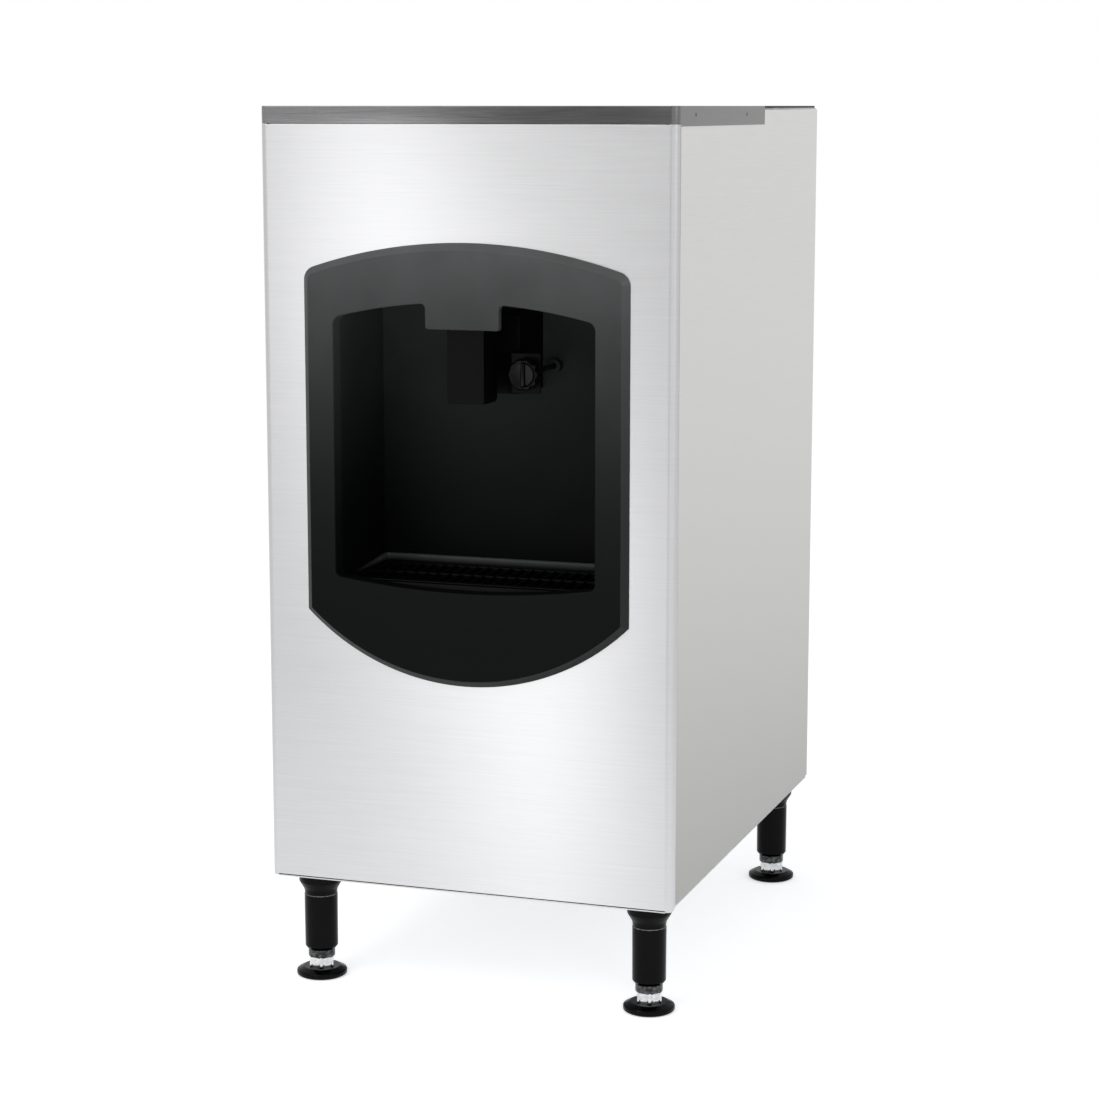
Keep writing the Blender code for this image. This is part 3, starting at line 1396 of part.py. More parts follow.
def make_chute():
    """Sloping duct from the bin to the alcove, and the hood over its mouth with its hand knob."""
    chute = chute_block("ice_chute", CHUTE_WALL, CHUTE_FRONT, CHUTE_REAR)
    inside = chute_block("chute_inside", 0, CHUTE_FRONT - OVERRUN, CHUTE_REAR + OVERRUN)
    cut(chute, inside)
    finish(chute, "white_liner")

    foot = TOP - HOOD_FOOT_DROP
    top = TOP - HOOD_TOP_DROP
    wall = HOOD_WALL
    hood = box("chute_hood", (-HOOD_OUTER, HOOD_FRONT, foot), (HOOD_OUTER, HOOD_REAR, top))
    ear_foot = KNOB_Z - HOOD_EAR_HEIGHT / 2
    ear_top = KNOB_Z + HOOD_EAR_HEIGHT / 2
    cheek = box(
        "hood_cheek",
        (HOOD_INNER, EAR_FACE, ear_foot),
        (HOOD_OUTER, HOOD_FRONT + wall, ear_top),
    )
    ear = box(
        "hood_ear",
        (HOOD_INNER, EAR_FACE, ear_foot),
        (HOOD_INNER + HOOD_EAR_WIDTH, EAR_FACE + wall, ear_top),
    )
    inside = box(
        "hood_inside",
        (-HOOD_INNER, HOOD_FRONT + wall, foot - OVERRUN),
        (HOOD_INNER, HOOD_REAR + OVERRUN, top - wall),
    )
    stem_hole = rod(
        "hood_ear_hole",
        KNOB_STEM_RADIUS + RUNNING_GAP,
        (KNOB_X, EAR_FACE - OVERRUN, KNOB_Z),
        (KNOB_X, EAR_FACE + OVERRUN, KNOB_Z),
        SMALL_SIDES,
    )
    join(hood, cheek, ear)
    cut(hood, inside, stem_hole)
    finish(hood, "black_abs")

    seat = EAR_FACE - CLEARANCE
    reach = ALCOVE_BACK - CLEARANCE - seat
    face = KNOB_LENGTH
    profile = [
        (0, face - KNOB_EDGE),
        (KNOB_RADIUS - 2 * KNOB_EDGE, face - KNOB_EDGE),
        (KNOB_RADIUS - KNOB_EDGE, face),
        (KNOB_RADIUS, face - KNOB_EDGE),
        (KNOB_RADIUS, KNOB_NECK),
        (KNOB_RADIUS / 2, 0),
        (KNOB_STEM_RADIUS, 0),
        (KNOB_STEM_RADIUS, -reach),
        (0, -reach),
    ]
    knob = turned("hood_knob", profile, (KNOB_X, seat, KNOB_Z), "Y")
    grip = box(
        "knob_grip",
        (KNOB_X - KNOB_GRIP / 2, seat - face, KNOB_Z - KNOB_RADIUS + KNOB_EDGE),
        (KNOB_X + KNOB_GRIP / 2, seat - face + 2 * KNOB_EDGE, KNOB_Z + KNOB_RADIUS - KNOB_EDGE),
    )
    join(knob, grip)
    finish(knob, "black_abs")
    hang_on(pivot("knob_axis", (KNOB_X, seat, KNOB_Z)), knob)


def make_lever():
    """Push lever on its pin, with the bracket, the return spring and the microswitch behind it."""
    half = LEVER_WIDTH / 2
    wall = LEVER_WALL
    foot = TOP - LEVER_FOOT_DROP
    shoulder = TOP - LEVER_TOP_DROP
    rear = LEVER_FACE + LEVER_DEPTH
    cheek = rounded(
        [
            (LEVER_FACE, foot, 0),
            (rear, foot, LEVER_TOE_RADIUS),
            (rear, shoulder, LEVER_TOE_RADIUS),
            (ARM_REAR, shoulder, 0),
            (ARM_REAR, PIVOT_Z + PIVOT_EYE_RADIUS, PIVOT_EYE_RADIUS),
            (ARM_FRONT, PIVOT_Z + PIVOT_EYE_RADIUS, PIVOT_EYE_RADIUS),
            (ARM_FRONT, shoulder, 0),
            (LEVER_FACE, shoulder, 0),
        ],
        CORNER_STEPS - 2,
    )
    lever = slab("push_lever", [cheek], "YZ", -half, half)
    inside = box(
        "lever_inside",
        (-half + wall, LEVER_FACE + wall, foot - OVERRUN),
        (half - wall, rear + OVERRUN, PIVOT_Z + PIVOT_EYE_RADIUS + OVERRUN),
    )
    cut(lever, inside)
    crossbar = box(
        "lever_crossbar",
        (-half + wall / 2, ARM_REAR - CROSSBAR_THICKNESS, CROSSBAR_Z - CROSSBAR_HEIGHT / 2),
        (half - wall / 2, ARM_REAR, CROSSBAR_Z + CROSSBAR_HEIGHT / 2),
    )
    join(lever, crossbar)
    pin_hole = rod(
        "lever_pin_hole",
        PIVOT_RADIUS + RUNNING_GAP,
        (-half - OVERRUN, PIVOT_Y, PIVOT_Z),
        (half + OVERRUN, PIVOT_Y, PIVOT_Z),
        SMALL_SIDES,
    )
    cut(lever, pin_hole)
    finish(lever, "black_abs")
    hang_on(pivot("lever_axis", (0, PIVOT_Y, PIVOT_Z)), lever)

    ear_outer = EAR_INNER + EAR_THICKNESS
    end = ear_outer + CLEARANCE + PIN_END
    pin = rod(
        "lever_pin", PIVOT_RADIUS, (-end, PIVOT_Y, PIVOT_Z), (end, PIVOT_Y, PIVOT_Z), SMALL_SIDES
    )
    finish(pin, "polished_steel")

    width = ear_outer + EAR_FOOT
    switch_rear = SWITCH_FRONT + SWITCH_DEPTH
    frame_front = ARM_FRONT - LEVER_SLOT_MARGIN - EAR_THICKNESS
    frame = rectangle(-width, frame_front, width, switch_rear)
    hole = rectangle(
        -LEVER_SLOT_HALF_WIDTH,
        ARM_FRONT - LEVER_SLOT_MARGIN,
        LEVER_SLOT_HALF_WIDTH,
        SWITCH_FRONT + LEVER_SLOT_MARGIN,
    )
    floor = BRACKET_FLOOR
    bracket = slab("lever_bracket", [frame, hole], "XY", floor, floor + EAR_THICKNESS)
    ear = rounded(
        [
            (PIVOT_Y - EAR_WIDTH / 2, floor + EAR_THICKNESS / 2, 0),
            (PIVOT_Y + EAR_WIDTH / 2, floor + EAR_THICKNESS / 2, 0),
            (PIVOT_Y + EAR_WIDTH / 2, PIVOT_Z + EAR_TOP, EAR_TOP),
            (PIVOT_Y - EAR_WIDTH / 2, PIVOT_Z + EAR_TOP, EAR_TOP),
        ],
        CORNER_STEPS - 2,
    )
    join(bracket, slab("bracket_right_ear", [ear], "YZ", EAR_INNER, ear_outer))
    join(bracket, slab("bracket_left_ear", [ear], "YZ", -ear_outer, -EAR_INNER))
    ear_holes = rod(
        "bracket_pin_hole",
        PIVOT_RADIUS + CLEARANCE,
        (-ear_outer - OVERRUN, PIVOT_Y, PIVOT_Z),
        (ear_outer + OVERRUN, PIVOT_Y, PIVOT_Z),
        SMALL_SIDES,
    )
    cut(bracket, ear_holes)
    finish(bracket, "galvanised", smooth=False)

    turns = [math.tau * i / COIL_STEPS for i in range(SPRING_TURNS * COIL_STEPS + 1)]
    length = SPRING_TURNS * SPRING_PITCH
    coil = [
        (
            SPRING_PITCH * a / math.tau - length / 2,
            PIVOT_Y + SPRING_RADIUS * math.cos(a),
            PIVOT_Z + SPRING_RADIUS * math.sin(a),
        )
        for a in turns
    ]
    first = Vector(coil[0]) + Vector((0, 0, -SPRING_LEG))
    last = Vector(coil[-1]) + Vector((0, 0, SPRING_LEG))
    spring = tube("lever_spring", [first, *coil, last], SPRING_WIRE, 1)
    finish(spring, "polished_steel")

    half = SWITCH_WIDTH / 2
    switch = box(
        "microswitch",
        (-half, SWITCH_FRONT, SWITCH_FOOT),
        (half, switch_rear, SWITCH_FOOT + SWITCH_HEIGHT),
    )
    bore = rod(
        "microswitch_bore",
        PLUNGER_RADIUS + RUNNING_GAP,
        (0, SWITCH_FRONT - OVERRUN, CROSSBAR_Z),
        (0, SWITCH_FRONT + PLUNGER_BORE_DEPTH, CROSSBAR_Z),
        SMALL_SIDES,
    )
    cut(switch, bore)
    finish(switch, "black_abs")
    tip = ARM_REAR + CLEARANCE
    plunger = rod(
        "switch_plunger",
        PLUNGER_RADIUS,
        (0, tip, CROSSBAR_Z),
        (0, tip + PLUNGER_LENGTH, CROSSBAR_Z),
        SMALL_SIDES,
    )
    finish(plunger, "white_nylon")
    hang_on(pivot("plunger_axis", (0, tip, CROSSBAR_Z)), plunger)


def make_leg(name, x, y):
    """Flared sleeve bolted under the pan, with a threaded hexagonal stem and a round foot."""
    foot = SLEEVE_FOOT
    bore = STEM_THREAD_RADIUS + RUNNING_GAP
    flare_top = LEG_HEIGHT - SLEEVE_COLLAR
    flare_foot = flare_top - SLEEVE_FLARE
    step = SLEEVE_TOP_RADIUS - SLEEVE_RADIUS
    profile = [
        (0, LEG_HEIGHT),
        (SLEEVE_TOP_RADIUS, LEG_HEIGHT),
        (SLEEVE_TOP_RADIUS, flare_top),
        (SLEEVE_TOP_RADIUS - step / 6, flare_top - SLEEVE_FLARE / 5),
        (SLEEVE_RADIUS + step / 3, flare_foot + SLEEVE_FLARE / 4),
        (SLEEVE_RADIUS, flare_foot),
        (SLEEVE_RADIUS, foot + SLEEVE_CHAMFER),
        (SLEEVE_RADIUS - SLEEVE_CHAMFER, foot),
        (bore, foot),
        (bore, foot + SLEEVE_BORE_DEPTH),
        (0, foot + SLEEVE_BORE_DEPTH),
    ]
    sleeve = turned(f"{name}_leg_sleeve", profile, (x, y, 0), sides=LEG_SIDES)
    finish(sleeve, "black_polyester")

    top = foot - CLEARANCE
    deck = PAD_THICKNESS + PAD_CROWN + CLEARANCE
    corner = STEM_ACROSS_FLATS / 2 / math.cos(math.radians(30))
    stem = rod(f"{name}_leg_stem", corner, (x, y, deck), (x, y, top), 6)
    thread = rod(
        f"{name}_stem_thread",
        STEM_THREAD_RADIUS,
        (x, y, top - SLEEVE_CHAMFER),
        (x, y, top + STEM_THREAD_LENGTH),
        SMALL_SIDES,
    )
    spigot = rod(
        f"{name}_stem_spigot",
        STEM_SPIGOT_RADIUS,
        (x, y, deck - STEM_SPIGOT_LENGTH),
        (x, y, deck + SLEEVE_CHAMFER),
        SMALL_SIDES,
    )
    join(stem, thread, spigot)
    finish(stem, "polished_steel")

    edge = PAD_THICKNESS / 3
    socket = STEM_SPIGOT_RADIUS + CLEARANCE
    floor = deck - STEM_SPIGOT_LENGTH - CLEARANCE
    crown = PAD_THICKNESS + PAD_CROWN
    profile = [
        (0, floor),
        (socket, floor),
        (socket, crown),
        (PAD_CROWN_RADIUS, crown),
        (PAD_RADIUS - edge, PAD_THICKNESS - edge / 2),
        (PAD_RADIUS, PAD_THICKNESS - 3 * edge / 2),
        (PAD_RADIUS - edge / 4, edge / 2),
        (PAD_RADIUS - edge, 0),
        (0, 0),
    ]
    pad = turned(f"{name}_foot", profile, (x, y, 0), sides=LEG_SIDES)
    finish(pad, "black_polyester")
    hang_on(pivot(f"{name}_level", (x, y, 0)), stem, pad)


def make_legs():
    make_leg("front_left", -LEG_X, LEG_FRONT_Y)
    make_leg("front_right", LEG_X, LEG_FRONT_Y)
    make_leg("rear_left", -LEG_X, LEG_REAR_Y)
    make_leg("rear_right", LEG_X, LEG_REAR_Y)


def hose_path(begin, end):
    """Down from a drain, back along the floor of the machine space, and level into its outlet."""
    lead = 2 * HOSE_RADIUS
    a = Vector(begin) - Vector((0, 0, lead))
    d = Vector(end) - Vector((0, lead, 0))
    b = a - Vector((0, 0, a.z - d.z))
    c = d - Vector((0, HOSE_BEND + (d.y - a.y) / 2, 0))
    points = [Vector(begin)]
    for i in range(HOSE_STEPS + 1):
        t = i / HOSE_STEPS
        s = 1 - t
        points.append(s**3 * a + 3 * s**2 * t * b + 3 * s * t**2 * c + t**3 * d)
    return [*points, Vector(end)]


def make_services():
    """Drain hoses to their outlets in the rear panel, the control box and the power inlet."""
    inside = REAR_FACE - SHEET - OUTLET_INSIDE
    starts = {
        "sink": (-OUTLET_X, (0, DRAIN_Y, SINK_FOOT - DRAIN_TAIL - CLEARANCE)),
        "bin": (
            -OUTLET_X + OUTLET_SPACING,
            (
                0,
                TROUGH_REAR - BIN_DRAIN_FROM_BACK,
                WHEEL_AXIS
                - BIN_HALF_WIDTH
                - BIN_WALL
                - BIN_FOAM
                - DRAIN_FLANGE
                - 2 * CLEARANCE,
            ),
        ),
    }
    for name, (x, begin) in starts.items():
        hose = tube(f"{name}_drain_hose", hose_path(begin, (x, inside, OUTLET_Z)), HOSE_RADIUS)
        finish(hose, "pale_hose")
        profile = [
            (0, -CLEARANCE),
            (OUTLET_RADIUS, -CLEARANCE),
            (OUTLET_RADIUS, -OUTLET_INSIDE - SHEET - CLEARANCE),
            (OUTLET_FLANGE_RADIUS, -OUTLET_INSIDE - SHEET - CLEARANCE),
            (OUTLET_FLANGE_RADIUS, -OUTLET_INSIDE - SHEET - CLEARANCE - OUTLET_FLANGE),
            (DRAIN_BORE, -OUTLET_INSIDE - SHEET - CLEARANCE - OUTLET_FLANGE),
            (DRAIN_BORE, -OUTLET_FLANGE),
            (0, -OUTLET_FLANGE),
        ]
        outlet = turned(f"{name}_drain_outlet", profile, (x, inside, OUTLET_Z), "Y", SMALL_SIDES)
        finish(outlet, "white_nylon")

    half = CONTROL_WIDTH / 2
    low = (CONTROL_X - half, FRONT + CONTROL_BEHIND_FRONT, PAN_TOP + CLEARANCE)
    high = (
        CONTROL_X + half,
        FRONT + CONTROL_BEHIND_FRONT + CONTROL_DEPTH,
        PAN_TOP + CLEARANCE + CONTROL_HEIGHT,
    )
    wall = CONTROL_WALL
    control = box("control_box", low, high)
    hollow = box(
        "control_hollow",
        (low[0] + wall, low[1] - OVERRUN, low[2] + wall),
        (high[0] - wall, high[1] - wall, high[2] - wall),
    )
    cut(control, hollow)
    finish(control, "galvanised", smooth=False)
    lid_low = (low[0], low[1] - CLEARANCE - wall, low[2])
    lid = box("control_box_cover", lid_low, (high[0], low[1] - CLEARANCE, high[2]))
    finish(lid, "galvanised", smooth=False)

    middle = PAN_TOP + INLET_LIFT
    half = INLET_WIDTH / 2
    tall = INLET_HEIGHT / 2
    outside = REAR_FACE + CLEARANCE
    inlet = box(
        "power_inlet",
        (INLET_X - half, outside, middle - tall),
        (INLET_X + half, outside + INLET_FLANGE, middle + tall),
    )
    lip = INLET_LIP
    body = box(
        "inlet_body",
        (INLET_X - half + lip, outside - INLET_BODY, middle - tall + lip),
        (INLET_X + half - lip, outside + INLET_FLANGE / 2, middle + tall - lip),
    )
    recess = box(
        "inlet_recess",
        (INLET_X - half + 2 * lip, outside - INLET_RECESS, middle - tall + lip + INLET_FLANGE),
        (INLET_X + half - 2 * lip, outside + OVERRUN, middle + tall - lip - INLET_FLANGE),
    )
    join(inlet, body)
    cut(inlet, recess)
    finish(inlet, "black_abs", smooth=False)


make_base()
make_front_panel()
make_side_panel("left_side_panel", -1)
make_side_panel("right_side_panel", 1)
make_rear()
make_top()
make_bin()
make_drive()
make_bezel()
make_alcove_liner()
make_sink()
make_chute()
make_lever()
make_services()
make_legs()
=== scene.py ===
"""Looks of the floor-standing ice dispenser: a satin stainless cabinet on four levelling legs,
with a black moulded dispensing alcove in front and an open-topped ice bin inside.

Metres, +Z up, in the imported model's own frame. The front faces -Y.
"""

import math

import bmesh
import bpy
import numpy as np
from mathutils import Matrix, Vector


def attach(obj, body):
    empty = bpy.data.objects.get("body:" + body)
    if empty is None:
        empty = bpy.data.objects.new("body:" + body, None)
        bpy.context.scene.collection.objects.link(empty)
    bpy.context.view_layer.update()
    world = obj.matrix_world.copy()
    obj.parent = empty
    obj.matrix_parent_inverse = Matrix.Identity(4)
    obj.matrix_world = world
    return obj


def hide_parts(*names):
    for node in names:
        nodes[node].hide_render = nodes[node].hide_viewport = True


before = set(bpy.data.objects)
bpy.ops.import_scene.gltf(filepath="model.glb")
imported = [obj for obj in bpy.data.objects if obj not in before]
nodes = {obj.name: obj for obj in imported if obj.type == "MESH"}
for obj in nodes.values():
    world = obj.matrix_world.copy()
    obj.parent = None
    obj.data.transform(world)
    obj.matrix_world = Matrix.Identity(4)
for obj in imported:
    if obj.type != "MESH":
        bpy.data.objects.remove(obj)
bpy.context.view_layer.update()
MM = 0.001


# The room: a pale seamless floor and backdrop, soft boxes and the camera
# A studio sweep of white card. The camera stands right of the middle at the height of the top, so
# that the top shows edge-on. Its place, turn and lens were fitted to the cabinet's corners.

CAMERA_PLACE = (1.2036, -3.5581, 1.170)
CAMERA_YAW = math.radians(18.844)
CAMERA_PITCH = math.radians(9.373)
CAMERA_LENS = 88.07
CAMERA_SENSOR = 36.0
FLOOR_HALF = 14.0
FLOOR_GLOW = 0.54
WORLD_LIGHT = 0.55
SCREEN_LEFT = (-0.49, -0.30, 0.0, 1.0)
SCREEN_RIGHT = (-0.10, 0.04, 1.0, 0.0)
REAR_LEFT = (-0.2, 0.1, 0.0, 0.4)
REAR_RIGHT = (0.5, 0.75, 1.0, 0.0)
REAR_BEGIN, REAR_END = -0.2, 0.2


def linear(code):
    """An sRGB hex colour as linear values: each channel c becomes c / 12.92 where it is dark and
    ((c + 0.055) / 1.055) to the power 2.4 elsewhere."""
    channels = np.array([int(code[i : i + 2], 16) for i in (1, 3, 5)]) / 255
    curve = np.where(channels <= 0.04045, channels / 12.92, ((channels + 0.055) / 1.055) ** 2.4)
    return (*curve.tolist(), 1.0)


def add(tree, kind, settings=None, **links):
    """Adds a shader node. settings holds its own settings, and inputs by name or number; links
    gives an input's name, with _ for a blank, or _ and its number, and the socket that feeds it."""
    made = tree.nodes.new(kind)
    for key, value in (settings or {}).items():
        if isinstance(key, int) or key in made.inputs:
            made.inputs[key].default_value = value
        else:
            setattr(made, key, value)
    for key, socket in links.items():
        name = int(key[1:]) if key[1:].isdigit() else key.replace("_", " ")
        tree.links.new(socket, made.inputs[name])
    return made


def make_camera():
    """The photographer's camera: turned to the left by the yaw and down by the pitch."""
    data = bpy.data.cameras.new("camera")
    data.lens = CAMERA_LENS
    data.sensor_width = CAMERA_SENSOR
    camera = bpy.data.objects.new("camera", data)
    camera.location = CAMERA_PLACE
    camera.rotation_euler = (math.pi / 2 - CAMERA_PITCH, 0, CAMERA_YAW)
    bpy.context.scene.collection.objects.link(camera)
    bpy.context.scene.camera = camera


def seen_rays(tree):
    """1 for rays that show the background: from the camera, or by way of metal or glass. Returns
    that and the same for metal alone."""
    path = add(tree, "ShaderNodeLightPath").outputs
    either = {"operation": "MAXIMUM"}
    seen = path["Is Camera Ray"]
    for ray in ("Is Glossy Ray", "Is Transmission Ray"):
        seen = add(tree, "ShaderNodeMath", either, _0=seen, _1=path[ray]).outputs[0]
    return seen, path["Is Glossy Ray"]


def make_world():
    """White where it is seen; a plain even light elsewhere. Metal sees a white room with a grey
    screen left of the camera, and paler grey behind on the right. Their soft edges lie between two
    places across the room, over which they go from a third value to a fourth."""
    world = bpy.data.worlds.new("studio")
    bpy.context.scene.world = world
    world.use_nodes = True
    tree = world.node_tree
    tree.nodes.clear()
    seen, glossy = seen_rays(tree)
    way = add(tree, "ShaderNodeTexCoord").outputs["Generated"]
    across, back, _ = add(tree, "ShaderNodeSeparateXYZ", Vector=way).outputs
    screens = []
    for edges in ((SCREEN_LEFT, SCREEN_RIGHT), (REAR_LEFT, REAR_RIGHT)):
        fades = []
        for edge in edges:
            settings = {"interpolation_type": "SMOOTHSTEP", **dict(enumerate(edge, 1))}
            fades.append(add(tree, "ShaderNodeMapRange", settings, Value=across).outputs[0])
        times = {"operation": "MULTIPLY"}
        screens.append(add(tree, "ShaderNodeMath", times, _0=fades[0], _1=fades[1]).outputs[0])
    behind = add(tree, "ShaderNodeMapRange", {1: REAR_BEGIN, 2: REAR_END}, Value=back).outputs[0]
    blend = {"data_type": "FLOAT"}
    around = add(tree, "ShaderNodeMix", blend, _0=behind, _2=screens[0], _3=screens[1])
    shade = add(tree, "ShaderNodeMath", {"operation": "MULTIPLY"}, _0=around.outputs[0], _1=glossy)
    tones = {"data_type": "RGBA", 6: linear("#FFFFFF"), 7: linear("#A6A6A5")}
    wall = add(tree, "ShaderNodeMix", tones, _0=shade.outputs[0])
    shown = add(tree, "ShaderNodeBackground", {"Strength": 1.0}, Color=wall.outputs[2])
    even = {"Color": linear("#F4F6F8"), "Strength": WORLD_LIGHT}
    light = add(tree, "ShaderNodeBackground", even)
    mix = add(tree, "ShaderNodeMixShader", _0=seen, _1=light.outputs[0], _2=shown.outputs[0])
    add(tree, "ShaderNodeOutputWorld", Surface=mix.outputs[0])


def make_floor():
    """A wide sheet of white card whose lit part reads as white and which keeps the shadow."""
    mesh = bpy.data.meshes.new("floor")
    edge = FLOOR_HALF
    mesh.from_pydata(
        [(-edge, -edge, 0), (edge, -edge, 0), (edge, edge, 0), (-edge, edge, 0)], [], [(0, 1, 2, 3)]
    )
    floor = bpy.data.objects.new("floor", mesh)
    bpy.context.scene.collection.objects.link(floor)
    material = bpy.data.materials.new("white_card")
    material.use_nodes = True
    tree = material.node_tree
    tree.nodes.clear()
    seen, _ = seen_rays(tree)
    paper = add(tree, "ShaderNodeBsdfDiffuse", {"Color": linear("#F6F6F6")})
    level = add(tree, "ShaderNodeMath", {"operation": "MULTIPLY", 1: FLOOR_GLOW}, _0=seen)
    glow = add(tree, "ShaderNodeEmission", {"Color": linear("#FFFFFF")}, Strength=level.outputs[0])
    both = add(tree, "ShaderNodeAddShader", _0=paper.outputs[0], _1=glow.outputs[0])
    add(tree, "ShaderNodeOutputMaterial", Surface=both.outputs[0])
    mesh.materials.append(material)


def soft_box(name, place, aim, size, brightness, roll=0.0, mirrored=True):
    """A soft box of a width and a height, as bright as brightness times a white card, turned to its
    aim and then rolled. One that isn't mirrored only fills shadows, and metal doesn't show it."""
    data = bpy.data.lights.new(name, "AREA")
    data.shape = "RECTANGLE"
    data.size, data.size_y = size
    data.energy = brightness * math.pi * size[0] * size[1]
    box = bpy.data.objects.new(name, data)
    box.location = place
    turn = (Vector(aim) - Vector(place)).to_track_quat("-Z", "Y").to_matrix().to_4x4()
    box.rotation_euler = (turn @ Matrix.Rotation(roll, 4, "Z")).to_euler()
    box.visible_camera = False
    box.visible_glossy = mirrored
    bpy.context.scene.collection.objects.link(box)


make_camera()
make_world()
make_floor()
LEAN = math.radians(28)
soft_box("top_soft_box", (-1.2, -2.6, 3.3), (0, 0, 0.6), (2.4, 2.4), 2.0)
soft_box("fill_soft_box", (2.8, -1.2, 2.2), (0, 0, 0.6), (1.6, 1.6), 0.9)
soft_box("band_soft_box", (-0.46, -1.6, 0.60), (-0.01, -0.37, 0.60), (0.28, 1.12), 2.1, roll=LEAN)
soft_box("front_soft_box", (1.7, -3.0, 0.75), (0, -0.2, 0.70), (1.6, 1.6), 3.4, mirrored=False)
bpy.context.scene.view_settings.view_transform = "Standard"


# Sheet-metal base and frame: pan, posts, deck, brackets, control box and the sheets of the back
# Folded from hot-dip galvanised steel sheet. The zinc freezes in flat crystals a few millimetres
# across, each of its own grey. The sheets of the back are held by cross-headed screws.

REAR_FACE = 371.5 * MM
REAR_SCREW_RADIUS = 4.5 * MM
REAR_SCREW_DOME = 2.4 * MM
REAR_SCREW_COLUMNS = (-268, -134, 0, 134, 268)
REAR_SCREW_ROWS = (165, 243, 257, 385, 400, 780, 1157)
HEAD_RINGS = (0, 0.28, 0.3, 0.58, 0.6, 0.8, 0.95, 1, 1)
HEAD_FALL = 0.55
HEAD_SINK = 0.1
RECESS_HALF_ARM = math.radians(13)
RECESS_HUB, RECESS_REACH = 0.29, 0.59


def new_material(name, **settings):
    """A material with one Principled shader, whose constant inputs are settings, with _ for a
    blank. Returns the material, its tree, its shader and the object coordinates."""
    material = bpy.data.materials.new(name)
    material.use_nodes = True
    tree = material.node_tree
    tree.nodes.clear()
    shader = add(tree, "ShaderNodeBsdfPrincipled")
    for key, value in settings.items():
        shader.inputs[key.replace("_", " ")].default_value = value
    add(tree, "ShaderNodeOutputMaterial", Surface=shader.outputs[0])
    where = add(tree, "ShaderNodeTexCoord").outputs["Object"]
    return material, tree, shader, where


def vary(tree, shader, pattern, colours, gloss, span=(0.3, 0.7), relief=None):
    """As a pattern goes through span, colour and roughness go from their first value to their
    second. relief is the strength and the height in metres of the pattern as bumps."""
    spread = add(tree, "ShaderNodeMapRange", {1: span[0], 2: span[1]}, Value=pattern).outputs[0]
    ends = {6: linear(colours[0]), 7: linear(colours[1])}
    colour = add(tree, "ShaderNodeMix", {"data_type": "RGBA", **ends}, _0=spread)
    tree.links.new(colour.outputs[2], shader.inputs["Base Color"])
    rough = add(tree, "ShaderNodeMapRange", {3: gloss[0], 4: gloss[1]}, Value=spread)
    tree.links.new(rough.outputs[0], shader.inputs["Roughness"])
    if relief:
        depth = {"Strength": relief[0], "Distance": relief[1]}
        bump = add(tree, "ShaderNodeBump", depth, Height=pattern)
        tree.links.new(bump.outputs[0], shader.inputs["Normal"])
    return colour


def dress(material, *names):
    """Gives CAD nodes a material."""
    for name in names:
        nodes[name].data.materials.clear()
        nodes[name].data.materials.append(material)


def skin(name, *grids, facing=None, sharp=30):
    """One mesh out of grids of points, rows by columns by three: each four neighbours make a face.
    Points that meet are merged and the faces turned outwards, or on an open sheet towards facing.
    Edges that turn by more than sharp degrees stay crisp."""
    points, faces, count = [], [], 0
    for grid in grids:
        rows, columns = grid.shape[:2]
        numbers = count + np.arange(rows * columns).reshape(rows, columns)
        corners = (numbers[:-1, :-1], numbers[:-1, 1:], numbers[1:, 1:], numbers[1:, :-1])
        faces.append(np.stack(corners, -1).reshape(-1, 4))
        points.append(grid.reshape(-1, 3))
        count += rows * columns
    mesh = bpy.data.meshes.new(name)
    mesh.from_pydata(np.concatenate(points).tolist(), [], np.concatenate(faces).tolist())
    shape = bmesh.new()
    shape.from_mesh(mesh)
    bmesh.ops.remove_doubles(shape, verts=shape.verts, dist=0.002 * MM)
    bmesh.ops.dissolve_degenerate(shape, edges=shape.edges, dist=0.001 * MM)
    bmesh.ops.recalc_face_normals(shape, faces=shape.faces)
    if facing:
        total = sum((face.normal * face.calc_area() for face in shape.faces), Vector())
        if total.dot(Vector(facing)) < 0:
            bmesh.ops.reverse_faces(shape, faces=shape.faces)
    shape.to_mesh(mesh)
    shape.free()
    mesh.shade_smooth()
    mesh.set_sharp_from_angle(angle=math.radians(sharp))
    piece = bpy.data.objects.new(name, mesh)
    bpy.context.scene.collection.objects.link(piece)
    return piece


def fit(piece, material, slot, body, *stands_for):
    """Finishes a new piece: its material, its body and what it replaces. The slot is not used."""
    piece.data.materials.append(material)
    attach(piece, body)
    if stands_for:
        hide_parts(*stands_for)
    return piece


def cross_heads(name, places, out, radius, dome):
    """Domed screw heads with a cross recess. Each is a polar grid: the height falls off with the
    square of the radius, and inside 0.6 of the radius it is sunk along the four arms. The last ring
    stands a little below the sheet's face."""
    reach = np.array(HEAD_RINGS)[:, None] * radius
    turn = np.linspace(0, math.tau, 33)[None]
    share = reach / radius
    height = dome * (1 - HEAD_FALL * share**2) * np.ones_like(turn)
    arm = np.abs((turn + math.pi / 4) % (math.pi / 2) - math.pi / 4) < RECESS_HALF_ARM
    sunk = (share < RECESS_HUB) | ((share < RECESS_REACH) & arm)
    height = np.where(sunk, height - HEAD_FALL * dome, height)
    height[-1] = -HEAD_SINK * dome
    out = Vector(out)
    side = out.cross(Vector((0, 0, 1))).normalized()
    flat = np.stack([reach * np.cos(turn), reach * np.sin(turn), height], -1)
    axes = np.array([side, (0, 0, 1), out])
    return skin(name, *[flat @ axes + np.array(place) for place in places], sharp=40)


